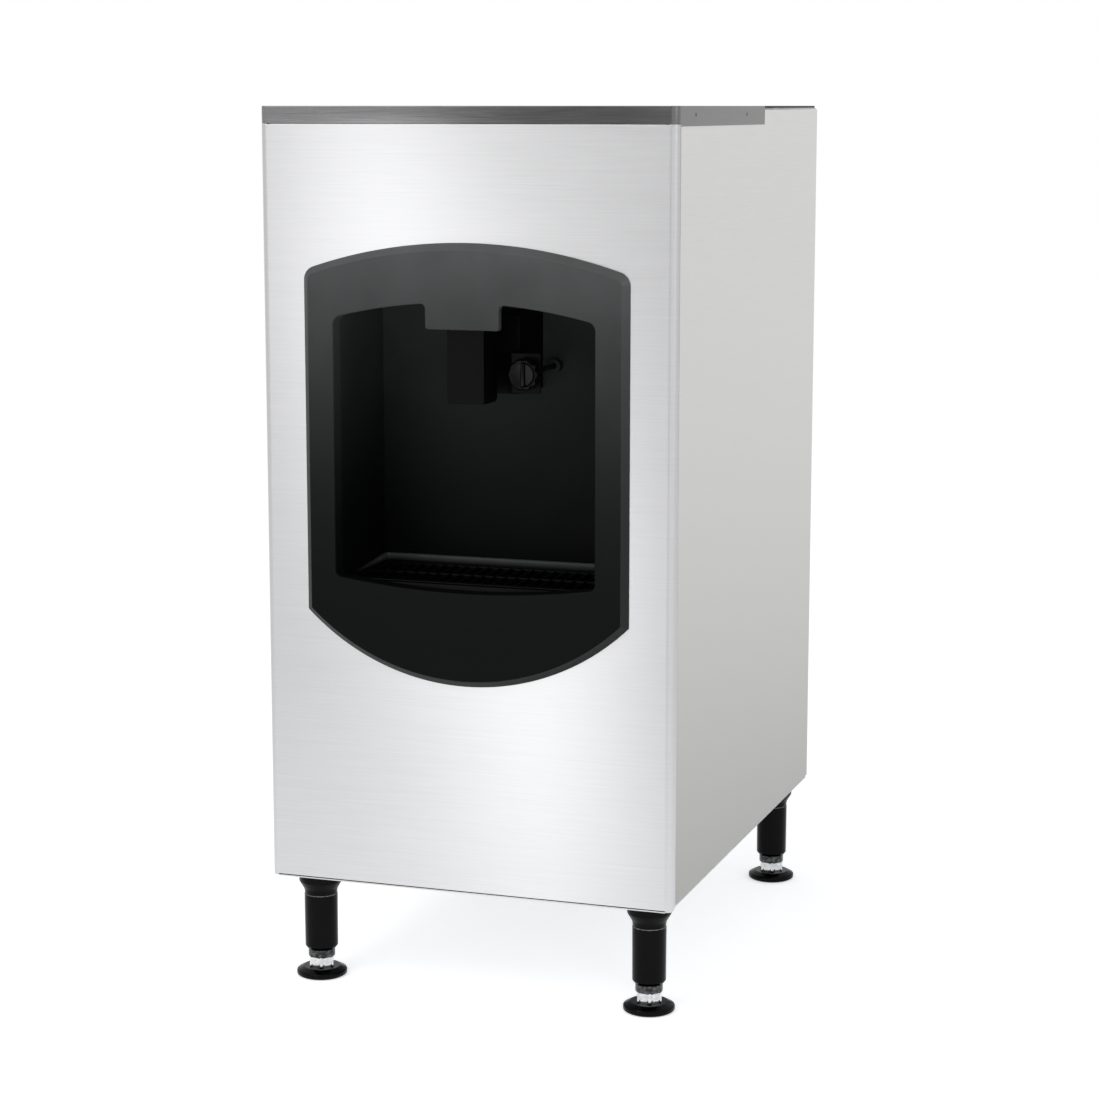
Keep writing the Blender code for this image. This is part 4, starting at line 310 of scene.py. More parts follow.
def galvanised_sheet():
    """Hot-dip zinc: crystals of 6 mm, drawn as cells, in greys that differ a little, half matt."""
    material, tree, shader, where = new_material("galvanised_steel", Metallic=1.0)
    crystals = add(tree, "ShaderNodeTexVoronoi", {"Scale": 1 / (6 * MM)}, Vector=where)
    grey = add(tree, "ShaderNodeSeparateColor", Color=crystals.outputs["Color"]).outputs[0]
    vary(tree, shader, grey, ("#9B9FA2", "#BDC0C2"), (0.42, 0.60), (0, 1))
    return material


def zinc_plate():
    """Zinc-plated screws: bright, faintly blue, with gloss that varies over 2.5 mm."""
    material, tree, shader, where = new_material("zinc_plated_steel", Metallic=1.0)
    cloud = add(tree, "ShaderNodeTexNoise", {"Scale": 1 / (2.5 * MM), "Detail": 2.0}, Vector=where)
    vary(tree, shader, cloud.outputs["Fac"], ("#B4B8BC", "#D0D3D6"), (0.22, 0.36))
    return material


dress(
    galvanised_sheet(),
    "base_pan",
    "front_left_post",
    "front_right_post",
    "rear_left_post",
    "rear_right_post",
    "rear_panel",
    "louvred_cover",
    "connection_plate",
    "top_deck",
    "motor_bracket",
    "lever_bracket",
    "control_box",
    "control_box_cover",
)
spots = [(x * MM, REAR_FACE, z * MM) for x in REAR_SCREW_COLUMNS for z in REAR_SCREW_ROWS]
heads = cross_heads("rear_screws", spots, (0, 1, 0), REAR_SCREW_RADIUS, REAR_SCREW_DOME)
fit(heads, zinc_plate(), "polished_steel", "cabinet")


# Stainless front and sides
# Austenitic stainless sheet, belt-brushed along its width to a satin finish. The front is folded
# round both front edges, with a cut-out behind the bezel; the sides stand 1.5 mm further in.
# Near-black beads along its two side edges and its foot are painted shade: they stand for the
# shadow lines at those seams. The sides' colour is painted darker towards the floor as shade.

TOP = 1170 * MM
FRONT = -367.5 * MM
HALF_WIDTH = 280 * MM
SHEET = 1.2 * MM
PANEL_FOOT = 150 * MM
PANEL_TOP = 1147.7 * MM
WRAP_RADIUS = 10 * MM
WRAP_RETURN = 2.7 * MM
PANEL_CORNER = 6 * MM
FOLD_RADIUS = 1.2 * MM
FOLD_DEPTH = 15 * MM
TOP_FOLD_DEPTH = 5.9 * MM
SHORT = 0.5 * MM
BEND_STEPS, FOLD_STEPS = 14, 5
SIDE_FACE = 278.5 * MM
SIDE_FOOT = 158 * MM
SIDE_TOP = 1144.9 * MM
SHADE_BEAD_FOOT = 152 * MM
EDGE_BEAD_SECTION = [(0, 0, 0), (0.6, 0, 0.3), (0.6, 3.5, 0.3), (0, 3.5, 0)]
FOOT_BEAD_SECTION = [(0.2, 0, 0), (-0.25, 0, 0.2), (-0.25, 1.3, 0.2), (0.2, 1.3, 0)]
SCRATCH_GAP = 0.9 * MM
BEZEL_SHAPE = {
    "half": 220 * MM,
    "apex": 999.5 * MM,
    "shoulder": 962 * MM,
    "corner": 518 * MM,
    "nadir": 428 * MM,
    "top_radius": 18 * MM,
    "foot_radius": 2.5 * MM,
}
BEZEL_LAP = 12 * MM
TAB_ROOT = 62 * MM
FOOT_STEPS, CORNER_STEPS, SIDE_STEPS = 24, 6, 8
SHOULDER_STEPS, ARCH_STEPS, CROWN_STEPS = 10, 20, 20
SHARPEST = 0.3 * MM


def swing(centre, radius, begin, end, steps):
    """Points on an arc between two angles, with both ends."""
    turn = np.linspace(begin, end, steps + 1)
    return np.stack([centre[0] + radius * np.cos(turn), centre[1] + radius * np.sin(turn)], -1)


def rounded_path(corners, steps=6, closed=False):
    """A path through corners (u, v, radius). An arc touches both lines of each corner: it starts
    radius / tan(half the angle) before it, and its centre lies radius / sin(half the angle) away
    from it on the middle line."""
    spots = np.array([corner[:2] for corner in corners], float)
    parts = []
    for i, (_, _, radius) in enumerate(corners):
        here = spots[i]
        if not radius or (not closed and i in (0, len(corners) - 1)):
            parts.append(here[None])
            continue
        before, after = spots[i - 1] - here, spots[(i + 1) % len(spots)] - here
        before, after = before / np.hypot(*before), after / np.hypot(*after)
        half = math.acos(float(np.clip(before @ after, -1, 1))) / 2
        middle = here + (before + after) / np.hypot(*(before + after)) * radius / math.sin(half)
        first = here + before * radius / math.tan(half) - middle
        last = here + after * radius / math.tan(half) - middle
        sweep = math.atan2(first[0] * last[1] - first[1] * last[0], first @ last)
        begin = math.atan2(first[1], first[0])
        parts.append(swing(middle, radius, begin, begin + sweep, steps))
    if closed:
        parts.append(parts[0][:1])
    return np.concatenate(parts)


def tombstone(
    half, apex, shoulder, corner, nadir, top_radius, foot_radius, inset=0.0, arch_end=TAB_ROOT
):
    """The right half of a tombstone, from the middle of its foot to the middle of its top, moved
    inwards by inset. Foot and top are arcs through three points each; the side is upright. A
    rounded corner's centre lies its own radius inside both of the lines that it joins. All of them
    have the same count of points, so that outlines can be joined point by point."""
    rise, sag = apex - shoulder, corner - nadir
    top_reach = (half**2 + rise**2) / (2 * rise)
    foot_reach = (half**2 + sag**2) / (2 * sag)
    top_centre, foot_centre = apex - top_reach, nadir + foot_reach
    top_reach, foot_reach, edge = top_reach - inset, foot_reach - inset, half - inset
    low = max(foot_radius - inset, SHARPEST)
    high = max(top_radius - inset, SHARPEST)
    low_x, high_x = edge - low, edge - high
    low_z = foot_centre - math.sqrt((foot_reach - low) ** 2 - low_x**2)
    high_z = top_centre + math.sqrt((top_reach - high) ** 2 - high_x**2)
    low_turn = math.atan2(low_z - foot_centre, low_x)
    high_turn = math.atan2(high_z - top_centre, high_x)
    side = np.stack([np.full(SIDE_STEPS + 1, edge), np.linspace(low_z, high_z, SIDE_STEPS + 1)], -1)
    arch_x = np.linspace(top_reach * math.cos(high_turn), arch_end, ARCH_STEPS + 1)
    top_x = np.concatenate([arch_x, np.linspace(arch_end, 0, CROWN_STEPS + 1)[1:]])
    top = np.stack([top_x, top_centre + np.sqrt(top_reach**2 - top_x**2)], -1)
    return np.concatenate(
        [
            swing((0, foot_centre), foot_reach, -math.pi / 2, low_turn, FOOT_STEPS),
            swing((low_x, low_z), low, low_turn, 0, CORNER_STEPS)[1:],
            side[1:],
            swing((high_x, high_z), high, 0, high_turn, SHOULDER_STEPS)[1:],
            top[1:],
        ]
    )


def loop(right, y):
    """A right half of (x, z) points and its mirror image as one closed ring at a depth y."""
    whole = np.concatenate([right, (right * (-1, 1))[-2::-1]])
    return np.stack([whole[:, 0], np.full(len(whole), y), whole[:, 1]], -1)


def front_sheet():
    """A flat band between the cut-out and a rectangle, with a strip bent round each side edge on an
    arc of a quarter turn, and folds to the rear along the foot and the top. The strip's foot rises
    on an arc of its own to a rounded corner."""
    flat = HALF_WIDTH - WRAP_RADIUS - SHORT
    low, high = PANEL_FOOT + FOLD_RADIUS, PANEL_TOP - FOLD_RADIUS
    foot_x = np.linspace(0, flat, FOOT_STEPS + CORNER_STEPS + 1)
    side_z = np.linspace(low + SHORT, high - SHORT, SIDE_STEPS + SHOULDER_STEPS - 1)
    side_z = np.concatenate([[low], side_z, [high]])
    top_x = np.linspace(flat, 0, ARCH_STEPS + CROWN_STEPS + 1)
    edge = np.concatenate(
        [
            np.stack([foot_x, np.full_like(foot_x, low)], -1),
            np.stack([np.full_like(side_z, flat), side_z], -1)[1:],
            np.stack([top_x, np.full_like(top_x, high)], -1)[1:],
        ]
    )
    within = np.clip(edge, (-1, low + SHORT), (flat - SHORT, high - SHORT))
    holes = [tombstone(**BEZEL_SHAPE, inset=BEZEL_LAP - more) for more in (0, SHORT)]
    band = np.stack([loop(outline, FRONT) for outline in (*holes, within, edge)])

    centre = (HALF_WIDTH - WRAP_RADIUS, FRONT + WRAP_RADIUS)
    bend = swing(centre, WRAP_RADIUS, -math.pi / 2, 0, BEND_STEPS)
    path = np.concatenate([[(flat, FRONT)], bend, [(HALF_WIDTH, centre[1] + WRAP_RETURN)]])
    height = side_z[:, None] + np.zeros(len(path))
    beyond = np.clip(path[:, 0] - HALF_WIDTH + PANEL_CORNER, 0, PANEL_CORNER)
    drop = PANEL_CORNER - np.sqrt(PANEL_CORNER**2 - beyond**2)
    height[0] = PANEL_FOOT + np.maximum(drop, FOLD_RADIUS)
    height[1] = np.maximum(height[1], height[0] + SHORT)
    height[-1, 1:] = PANEL_TOP
    wrap = np.stack([path[:, 0] + 0 * height, path[:, 1] + 0 * height, height], -1)

    width = np.concatenate([-foot_x[::-1], foot_x[1:]])
    foot = swing((FRONT + FOLD_RADIUS, low), FOLD_RADIUS, math.pi, 1.5 * math.pi, FOLD_STEPS)
    foot = np.concatenate([foot, [(FRONT + FOLD_DEPTH, PANEL_FOOT)]])
    head = swing((FRONT + FOLD_RADIUS, high), FOLD_RADIUS, math.pi, math.pi / 2, FOLD_STEPS)
    head = np.concatenate([head, [(FRONT + TOP_FOLD_DEPTH, PANEL_TOP)]])
    top_width = np.concatenate([-top_x, top_x[-2::-1]])
    folds = []
    for across, section in ((width, foot), (top_width, head)):
        shape = np.zeros((len(section), len(across), 3))
        shape[..., 0] = across
        shape[..., 1:] = section[:, None]
        folds.append(shape)
    return skin("front_sheet", band, wrap, wrap * (-1, 1, 1), *folds, facing=(0, -1, 0))


def brushed(name, anisotropy, per_metre, greys, gloss, bumps):
    """Brushed metal: level scratches, 0.9 mm apart and so many to the metre along, drawn coarser
    than the real 0.05 mm so that they show, in near greys with uneven gloss. Light spreads up and
    down on them. Returns what new_material does, and the colour of the grain."""
    material, tree, shader, where = new_material(
        name, Metallic=1.0, Anisotropic=anisotropy, Anisotropic_Rotation=0.25
    )
    stretch = {"Scale": (per_metre, per_metre, 1 / SCRATCH_GAP)}
    along = add(tree, "ShaderNodeMapping", stretch, Vector=where).outputs[0]
    lines = {"Scale": 1.0, "Detail": 3.0, "Roughness": 0.6}
    scratches = add(tree, "ShaderNodeTexNoise", lines, Vector=along).outputs["Fac"]
    grain = vary(tree, shader, scratches, greys, gloss, relief=(bumps, 0.02 * MM))
    return material, tree, shader, where, grain


def shade_grain(tree, shader, share, low_tone, high_tone, grain):
    """The base colour goes from a low tone to a high one with share, times the grain's grey."""
    ends = {"data_type": "RGBA", 6: linear(low_tone), 7: linear(high_tone)}
    tone = add(tree, "ShaderNodeMix", ends, _0=share).outputs[2]
    times = {"data_type": "RGBA", "blend_type": "MULTIPLY", 0: 1.0}
    both = add(tree, "ShaderNodeMix", times, _6=tone, _7=grain.outputs[2])
    tree.links.new(both.outputs[2], shader.inputs["Base Color"])


def satin_with_painted_fade(name, low_tone, high_tone, top):
    """Satin stainless, with scratches about 80 mm long. Painted reflection: the base colour goes
    from a low tone at the foot to a high tone at a height, so that the sides darken towards the
    floor and the front lightens a little towards its foot."""
    material, tree, shader, where, grain = brushed(
        name, 0.95, 12, ("#F6F6F6", "#FFFFFF"), (0.28, 0.33), 0.02
    )
    height = add(tree, "ShaderNodeSeparateXYZ", Vector=where).outputs["Z"]
    rise = add(tree, "ShaderNodeMapRange", {1: PANEL_FOOT, 2: top}, Value=height).outputs[0]
    shade_grain(tree, shader, rise, low_tone, high_tone, grain)
    return material


front = front_sheet()
wall = front.modifiers.new("sheet", "SOLIDIFY")
wall.thickness = SHEET
wall.offset = -1
# Painted reflection: the front is a little lighter below 450 mm.
satin = satin_with_painted_fade("brushed_stainless", "#CECECF", "#C3C3C4", 450 * MM)
fit(front, satin, "satin_steel", "cabinet", "front_panel")
# Painted shade: the sides darken towards the floor, standing for the floor's shadow seen in the
# sheet.
satin = satin_with_painted_fade("brushed_stainless_side", "#9A9995", "#E3E2DF", 1150 * MM)
dress(satin, "left_side_panel", "right_side_panel")


def bead(name, ring, begin, end):
    """A ring of points carried straight from one place to another, closed at both ends."""
    middle = ring * 0 + ring.mean(0)
    places = np.array([begin, begin, end, end], float)[:, None]
    return skin(name, np.stack([middle, ring, ring, middle]) + places)


def shade_bead_black():
    """Near black and matt, with a 1.5 mm ripple: painted shade for the beads that stand for the
    shadow lines along the seams and the foot.
    """
    material, tree, shader, where = new_material("shade_bead_black", Specular_IOR_Level=0.2)
    ripple = add(tree, "ShaderNodeTexNoise", {"Scale": 1 / (1.5 * MM), "Detail": 1.0}, Vector=where)
    vary(tree, shader, ripple.outputs["Fac"], ("#1C1C1D", "#262627"), (0.5, 0.65))
    return material


# Painted shade: dark beads along the side seams and under the front's foot stand for the shadow
# lines there.
SHADE_BEAD = shade_bead_black()
seam_y = FRONT + WRAP_RADIUS + WRAP_RETURN
for side, out in (("left", -1), ("right", 1)):
    seam = rounded_path(EDGE_BEAD_SECTION, 3, closed=True) * MM
    seam = np.column_stack([out * (SIDE_FACE + seam[:, 0]), seam_y + seam[:, 1], seam[:, 0] * 0])
    seam = bead(f"{side}_edge_shade_bead", seam, (0, 0, SIDE_FOOT), (0, 0, SIDE_TOP))
    fit(seam, SHADE_BEAD, "gasket", "cabinet")
foot_bead = rounded_path(FOOT_BEAD_SECTION, 3, closed=True) * MM
foot_bead = np.column_stack([foot_bead[:, 0] * 0, FRONT + foot_bead[:, 0], SHADE_BEAD_FOOT + foot_bead[:, 1]])
half = HALF_WIDTH - WRAP_RADIUS
fit(bead("foot_shade_bead", foot_bead, (-half, 0, 0), (half, 0, 0)), SHADE_BEAD, "gasket", "cabinet")


# Dark trim and gasket on the top
# A strip of darker brushed steel folded round the top edge, held by small blackened screws, and a
# foam rubber gasket on which the ice maker sits.

TRIM_FACE = 0.15 * MM
TRIM_FRONT_HEIGHT = 22 * MM
TRIM_SIDE_HEIGHT = 25 * MM
TRIM_LENGTH = 424 * MM
TRIM_STEP = 12.95 * MM
TRIM_EDGE = 0.9 * MM
TRIM_SCREW_RADIUS = 2.6 * MM
TRIM_SCREW_DOME = 0.15 * MM
TRIM_SCREWS = (79 * MM, 328 * MM)
TRIM_SCREW_DROP = 11 * MM
PAINTED_REFLECTION_FADES = ({1: -100 * MM, 2: 100 * MM}, {1: 200 * MM, 2: HALF_WIDTH, 3: 1.0, 4: 0.6})


def trim_strip():
    """A section of the sheet, with a rounded upper edge, carried round the top: each point lies its
    own depth inside a path of two sides, two quarter circles and the front."""
    half, front_line = HALF_WIDTH - TRIM_FACE, FRONT + TRIM_FACE
    radius = WRAP_RADIUS - TRIM_FACE
    bend = swing((half - radius, front_line + radius), radius, 0, -math.pi / 2, BEND_STEPS)
    turn = np.linspace(0, -math.pi / 2, BEND_STEPS + 1)
    rear = [(half, FRONT + y) for y in (TRIM_LENGTH, TRIM_STEP, TRIM_STEP)]
    path = np.concatenate([rear, bend, [(0, front_line)]])
    out = np.stack([np.cos(turn), np.sin(turn)], -1)
    out = np.concatenate([[(1, 0)] * 3, out, [(0, -1)]])
    foot = np.where(np.arange(len(path)) < 2, TOP - TRIM_SIDE_HEIGHT, TOP - TRIM_FRONT_HEIGHT)
    path = np.concatenate([path, (path * (-1, 1))[-2::-1]])
    out = np.concatenate([out, (out * (-1, 1))[-2::-1]])
    foot = np.concatenate([foot, foot[-2::-1]])
    edge = swing((TRIM_EDGE, TOP - TRIM_EDGE), TRIM_EDGE, math.pi, math.pi / 2, 4)
    section = np.concatenate([[(0, 0)], edge, [(SHEET, TOP), (SHEET, 0), (0, 0)]])
    shape = np.zeros((len(path), len(section), 3))
    shape[..., :2] = path[:, None] - out[:, None] * section[None, :, :1]
    shape[..., 2] = np.where(section[None, :, 1] == 0, foot[:, None], section[None, :, 1])
    ends = [np.stack([shape[i], shape[i] * 0 + shape[i, :-1].mean(0)]) for i in (0, -1)]
    return skin("trim_strip", shape, *ends)


def dark_steel():
    """Brushed steel, tinted grey, with scratches about 50 mm long. Painted reflection: it is darker
    right of the middle and a little lighter again round the right edge."""
    material, tree, shader, where, grain = brushed(
        "tinted_brushed_steel", 0.7, 20, ("#F0F0F0", "#FFFFFF"), (0.20, 0.27), 0.05
    )
    # Painted reflection: darker right of the middle, lighter again round the right edge.
    across = add(tree, "ShaderNodeSeparateXYZ", Vector=where).outputs["X"]
    middle, edge = (
        add(tree, "ShaderNodeMapRange", {"interpolation_type": "SMOOTHSTEP", **fade}, Value=across)
        for fade in PAINTED_REFLECTION_FADES
    )
    times = {"operation": "MULTIPLY"}
    painted_dip = add(tree, "ShaderNodeMath", times, _0=middle.outputs[0], _1=edge.outputs[0])
    shade_grain(tree, shader, painted_dip.outputs[0], "#838384", "#69696A", grain)
    return material


def black_oxide():
    """Blackened screws: near black, half matt, with a cloud of 2 mm in it."""
    material, tree, shader, where = new_material("black_oxide_steel", Metallic=0.6)
    cloud = add(tree, "ShaderNodeTexNoise", {"Scale": 1 / (2 * MM), "Detail": 2.0}, Vector=where)
    vary(tree, shader, cloud.outputs["Fac"], ("#1A1A1B", "#2A2A2B"), (0.35, 0.5))
    return material


def foam_rubber():
    """Cellular rubber: matt grey, with pores 1 mm across."""
    material, tree, shader, where = new_material("foam_rubber")
    pores = add(tree, "ShaderNodeTexNoise", {"Scale": 1 / (1 * MM), "Detail": 2.0}, Vector=where)
    greys, depth = ("#3E3F40", "#525354"), (0.5, 0.3 * MM)
    vary(tree, shader, pores.outputs["Fac"], greys, (0.8, 0.95), relief=depth)
    return material


fit(trim_strip(), dark_steel(), "dark_trim", "cabinet", "top_trim")
BLACK_OXIDE = black_oxide()
for side, out in (("left", -1), ("right", 1)):
    face = out * (HALF_WIDTH - TRIM_FACE)
    spots = [(face, FRONT + y, TOP - TRIM_SCREW_DROP) for y in TRIM_SCREWS]
    size = (TRIM_SCREW_RADIUS, TRIM_SCREW_DOME)
    heads = cross_heads(f"{side}_trim_screws", spots, (out, 0, 0), *size)
    fit(heads, BLACK_OXIDE, "dark_trim", "cabinet")
dress(foam_rubber(), "top_gasket")


# Bezel
# Injection-moulded black ABS with a fine spark-eroded grain, screwed on from inside. Its face is
# flat with a bevelled rim, a tab hangs over the alcove and a thin collar reaches into it.

BEZEL_PROUD = 10 * MM
BEZEL_BACK = FRONT - 0.3 * MM
BEZEL_BEVEL = 8.5 * MM
BEVEL_EASE = 2.0 * MM
LIP_RADIUS = 2.0 * MM
COLLAR_END = -353.5 * MM
COLLAR_WALL = 3 * MM
MOUTH_SHAPE = {
    "half": 177 * MM,
    "apex": 924.3 * MM,
    "shoulder": 902.1 * MM,
    "corner": 566 * MM,
    "nadir": 552 * MM,
    "top_radius": 12 * MM,
    "foot_radius": 8 * MM,
}
TAB_HALF = 50 * MM
TAB_TIP = 890 * MM
TAB_ROOT_RADIUS = 6 * MM
TAB_TIP_RADIUS = 4 * MM
# The steps round and along the tab, as many in all as the crown that it takes.
ROOT_STEPS, DROP_STEPS, TIP_STEPS, TAB_STEPS = 6, 3, 5, 6
FACE_EDGE = 20 * MM
FACE_RINGS = (0.01, 0.5, 0.99)
FACE_MARGIN = 0.2 * MM
RIM_FOOT, RIM_HEAD = 520 * MM, 940 * MM
FADE = {"low": 0.46, "high": 1.0, "bend": 2.8}
BEZEL_PAINTED_TONES = ("#060707", "#535555")


def mouth_edge(grow):
    """The right half of the alcove's mouth, grown by a distance: a tombstone whose crown is taken
    by the tab, with an inward arc at the tab's root and an outward one at its tip."""
    half, rise = MOUTH_SHAPE["half"], MOUTH_SHAPE["apex"] - MOUTH_SHAPE["shoulder"]
    reach = (half**2 + rise**2) / (2 * rise)
    centre = MOUTH_SHAPE["apex"] - reach
    root, tip, edge = TAB_ROOT_RADIUS + grow, TAB_TIP_RADIUS - grow, TAB_HALF - grow
    reach += grow
    root_x = edge + root
    root_z = centre + math.sqrt((reach - root) ** 2 - root_x**2)
    root_turn = math.atan2(root_z - centre, root_x)
    shape = tombstone(**MOUTH_SHAPE, inset=-grow, arch_end=reach * math.cos(root_turn))
    low = TAB_TIP + grow
    tab = np.concatenate(
        [
            swing((root_x, root_z), root, root_turn, math.pi, ROOT_STEPS)[1:],
            np.linspace((edge, root_z), (edge, low + tip), DROP_STEPS + 1)[1:],
            swing((edge - tip, low + tip), tip, 0, -math.pi / 2, TIP_STEPS)[1:],
            np.linspace((edge - tip, low), (0, low), TAB_STEPS + 1)[1:],
        ]
    )
    return np.concatenate([shape[:-CROWN_STEPS], tab])


def bezel_moulding():
    """Rings joined point by point: the outer wall, a bevel eased at both ends, the flat face, a
    rounded lip, the mouth, the collar's two walls, and the back, which closes on the first ring."""
    face = FRONT - BEZEL_PROUD
    depth = BEZEL_BACK - face
    bevel = [(0, BEZEL_BEVEL, BEVEL_EASE), (BEZEL_BEVEL, 0, BEVEL_EASE)]
    rim = rounded_path([(0, depth, 0), *bevel, (FACE_EDGE, 0, 0)])
    rings = [loop(tombstone(**BEZEL_SHAPE, inset=inset), face + deep) for inset, deep in rim[:-1]]
    lip = swing((0, 0), LIP_RADIUS, math.pi / 2, math.pi, 5)
    lip = [(LIP_RADIUS + x, LIP_RADIUS - z) for x, z in lip]
    inner = [loop(mouth_edge(grow), face + deep) for grow, deep in lip]
    outer = rings[-1]
    face_rings = [outer + (inner[0] - outer) * share for share in FACE_RINGS]
    plain, wide = (loop(tombstone(**MOUTH_SHAPE, inset=-grow), 0) for grow in (0, COLLAR_WALL))
    rings += face_rings + inner + [loop(mouth_edge(0), BEZEL_BACK)]
    back, end = (0, BEZEL_BACK, 0), (0, COLLAR_END, 0)
    rings += [plain + back, plain + end, wide + end, wide + back, rings[0]]
    return skin("bezel_moulding", np.stack(rings), sharp=35)


def moulded_abs(name, foot_tone, head_tone, gloss, specular, low=0.5, high=1.0, bend=1.0):
    """Moulded ABS: a pebble grain of 0.6 mm, a haze that varies over centimetres, and painted
    light: a tone that goes from the foot's to the head's between two heights, lighter where light
    falls from above. The share of the way up is raised to the power bend."""
    material, tree, shader, where = new_material(name, Specular_IOR_Level=specular)
    haze = add(tree, "ShaderNodeTexNoise", {"Scale": 14.0, "Detail": 3.0}, Vector=where)
    cloud = vary(tree, shader, haze.outputs["Fac"], ("#E8E8E8", "#FFFFFF"), gloss)
    grain = add(tree, "ShaderNodeTexNoise", {"Scale": 1 / (0.6 * MM), "Detail": 2.0}, Vector=where)
    depth = {"Strength": 0.12, "Distance": 0.1 * MM}
    bump = add(tree, "ShaderNodeBump", depth, Height=grain.outputs["Fac"])
    tree.links.new(bump.outputs[0], shader.inputs["Normal"])
    place = add(tree, "ShaderNodeSeparateXYZ", Vector=where).outputs["Z"]
    rise = add(tree, "ShaderNodeMapRange", {1: low, 2: high}, Value=place).outputs[0]
    curve = add(tree, "ShaderNodeMath", {"operation": "POWER", 1: bend}, _0=rise).outputs[0]
    shade_grain(tree, shader, curve, foot_tone, head_tone, cloud)
    return material


def second_finish(piece, material, chosen):
    """Gives another material to the faces whose middles are chosen by their x, y and z."""
    piece.data.materials.append(material)
    middles = np.zeros(len(piece.data.polygons) * 3)
    piece.data.polygons.foreach_get("center", middles)
    picked = chosen(*middles.reshape(-1, 3).T)
    piece.data.polygons.foreach_set("material_index", picked.astype(np.int32))


def on_bevel(x, y, z):
    """Behind the flat face, in front of the sheet, and outside the mouth."""
    sloped = (y > FRONT - BEZEL_PROUD + FACE_MARGIN) & (y < FRONT)
    beside = np.abs(x) > MOUTH_SHAPE["half"] + FACE_EDGE
    return sloped & (beside | (z < RIM_FOOT) | (z > RIM_HEAD))


# Painted light: the bezel is grey towards the top and near black towards its foot.
matt = moulded_abs("painted_light_black_abs", *BEZEL_PAINTED_TONES, (0.40, 0.48), 0.06, **FADE)
rubbed = moulded_abs("rubbed_black_abs", *BEZEL_PAINTED_TONES, (0.20, 0.28), 0.28, **FADE)
bezel = fit(bezel_moulding(), matt, "black_abs", "cabinet", "bezel")
second_finish(bezel, rubbed, on_bevel)


# Alcove, with the hood and its knob
# A box of the same black plastic behind the bezel. A hood covers the chute's mouth, and a fluted
# hand knob holds the hood to a boss on the rear wall.

KNOB_PLACE = (67 * MM, 832 * MM)
KNOB_SEAT = -318.1 * MM
KNOB_BACK = -199.8 * MM
KNOB_RADIUS = 21 * MM
KNOB_LENGTH = 20 * MM
KNOB_FLUTES = 10
KNOB_FLUTE_DEPTH = 1.6 * MM
KNOB_FLUTE_BEGIN = 0.75
KNOB_PROFILE = [
    (0, -17, 0),
    (14, -17, 3),
    (17.5, -20, 1.5),
    (21, -17, 1.5),
    (21, -6, 2),
    (11, 0, 1),
    (4, 0, 0.5),
    (4, 118, 0),
    (0, 118, 0),
]
RIB_OUTLINE = [(-15, -2.5, 2), (15, -2.5, 2), (15, 2.5, 2), (-15, 2.5, 2)]
RIB_LEVELS = [(1, 3.5), (1, 0.8), (0.98, 0.3), (0.92, 0), (0, 0)]
CRISP = math.radians(35)


def eased(name, width):
    """A copy of a CAD node with its edges eased: its triangles are merged, flat ones joined, and a
    bevel of a width rounds each edge of more than 35 degrees."""
    mesh = nodes[name].data.copy()
    mesh.name = f"{name}_moulding"
    mesh.materials.clear()
    shape = bmesh.new()
    shape.from_mesh(mesh)
    bmesh.ops.remove_doubles(shape, verts=shape.verts, dist=0.01 * MM)
    flat = math.radians(1)
    bmesh.ops.dissolve_limit(shape, angle_limit=flat, verts=shape.verts, edges=shape.edges)
    shape.to_mesh(mesh)
    shape.free()
    mesh.shade_smooth()
    mesh.set_sharp_from_angle(angle=CRISP)
    piece = bpy.data.objects.new(mesh.name, mesh)
    bpy.context.scene.collection.objects.link(piece)
    bevel = piece.modifiers.new("edges", "BEVEL")
    bevel.width = width
    bevel.segments = 2
    bevel.limit_method = "ANGLE"
    bevel.angle_limit = CRISP
    bevel.harden_normals = True
    return piece


def knob():
    """A profile turned about the knob's axis, with its rim drawn in by a cosine of the flutes; the
    face is dished, and a rib across it gives the fingers hold."""
    profile = rounded_path(KNOB_PROFILE, 4) * MM
    turn = np.linspace(0, math.tau, 121)
    radius = profile[:, :1] * np.ones_like(turn)
    share = profile[:, :1] / KNOB_RADIUS
    near_rim = np.clip((share - KNOB_FLUTE_BEGIN) / (1 - KNOB_FLUTE_BEGIN), 0, 1)
    radius = radius - near_rim * KNOB_FLUTE_DEPTH * (1 - np.cos(KNOB_FLUTES * turn)) / 2
    depth = KNOB_SEAT + np.minimum(profile[:, 1:], KNOB_BACK - KNOB_SEAT) + 0 * turn
    x, z = KNOB_PLACE
    body = np.stack([x + radius * np.cos(turn), depth, z + radius * np.sin(turn)], -1)
    rib = rounded_path(RIB_OUTLINE, 5, closed=True) * MM
    levels = np.array(RIB_LEVELS)
    ridge = np.zeros((len(levels), len(rib), 3))
    ridge[..., 0] = x + rib[None, :, 1] * levels[:, :1]
    ridge[..., 2] = z + rib[None, :, 0] * levels[:, :1]
    ridge[..., 1] = KNOB_SEAT - KNOB_LENGTH + levels[:, 1:] * MM
    return skin("fluted_knob", body, ridge, sharp=50)


# Painted light: the alcove's walls go from near black low down to grey near the top.
walls = moulded_abs("black_abs", "#060707", "#3E4040", (0.42, 0.52), 0.05, 0.56, 0.92, 2.6)
dress(walls, "alcove_liner")
HOOD_ABS = moulded_abs("black_abs_satin", "#050505", "#080808", (0.26, 0.34), 0.04)
fit(eased("chute_hood", 1.0 * MM), HOOD_ABS, "black_abs", "cabinet", "chute_hood")
phenolic = moulded_abs("black_phenolic", "#050505", "#080808", (0.12, 0.18), 0.09)
fit(knob(), phenolic, "black_abs", "knob", "hood_knob")


# Drip sink and grille
# A black moulded tray with a rounded rim that stands on the alcove's floor, and a lift-out grille
# of upright bars in a frame, which rests on the tray's ledge.

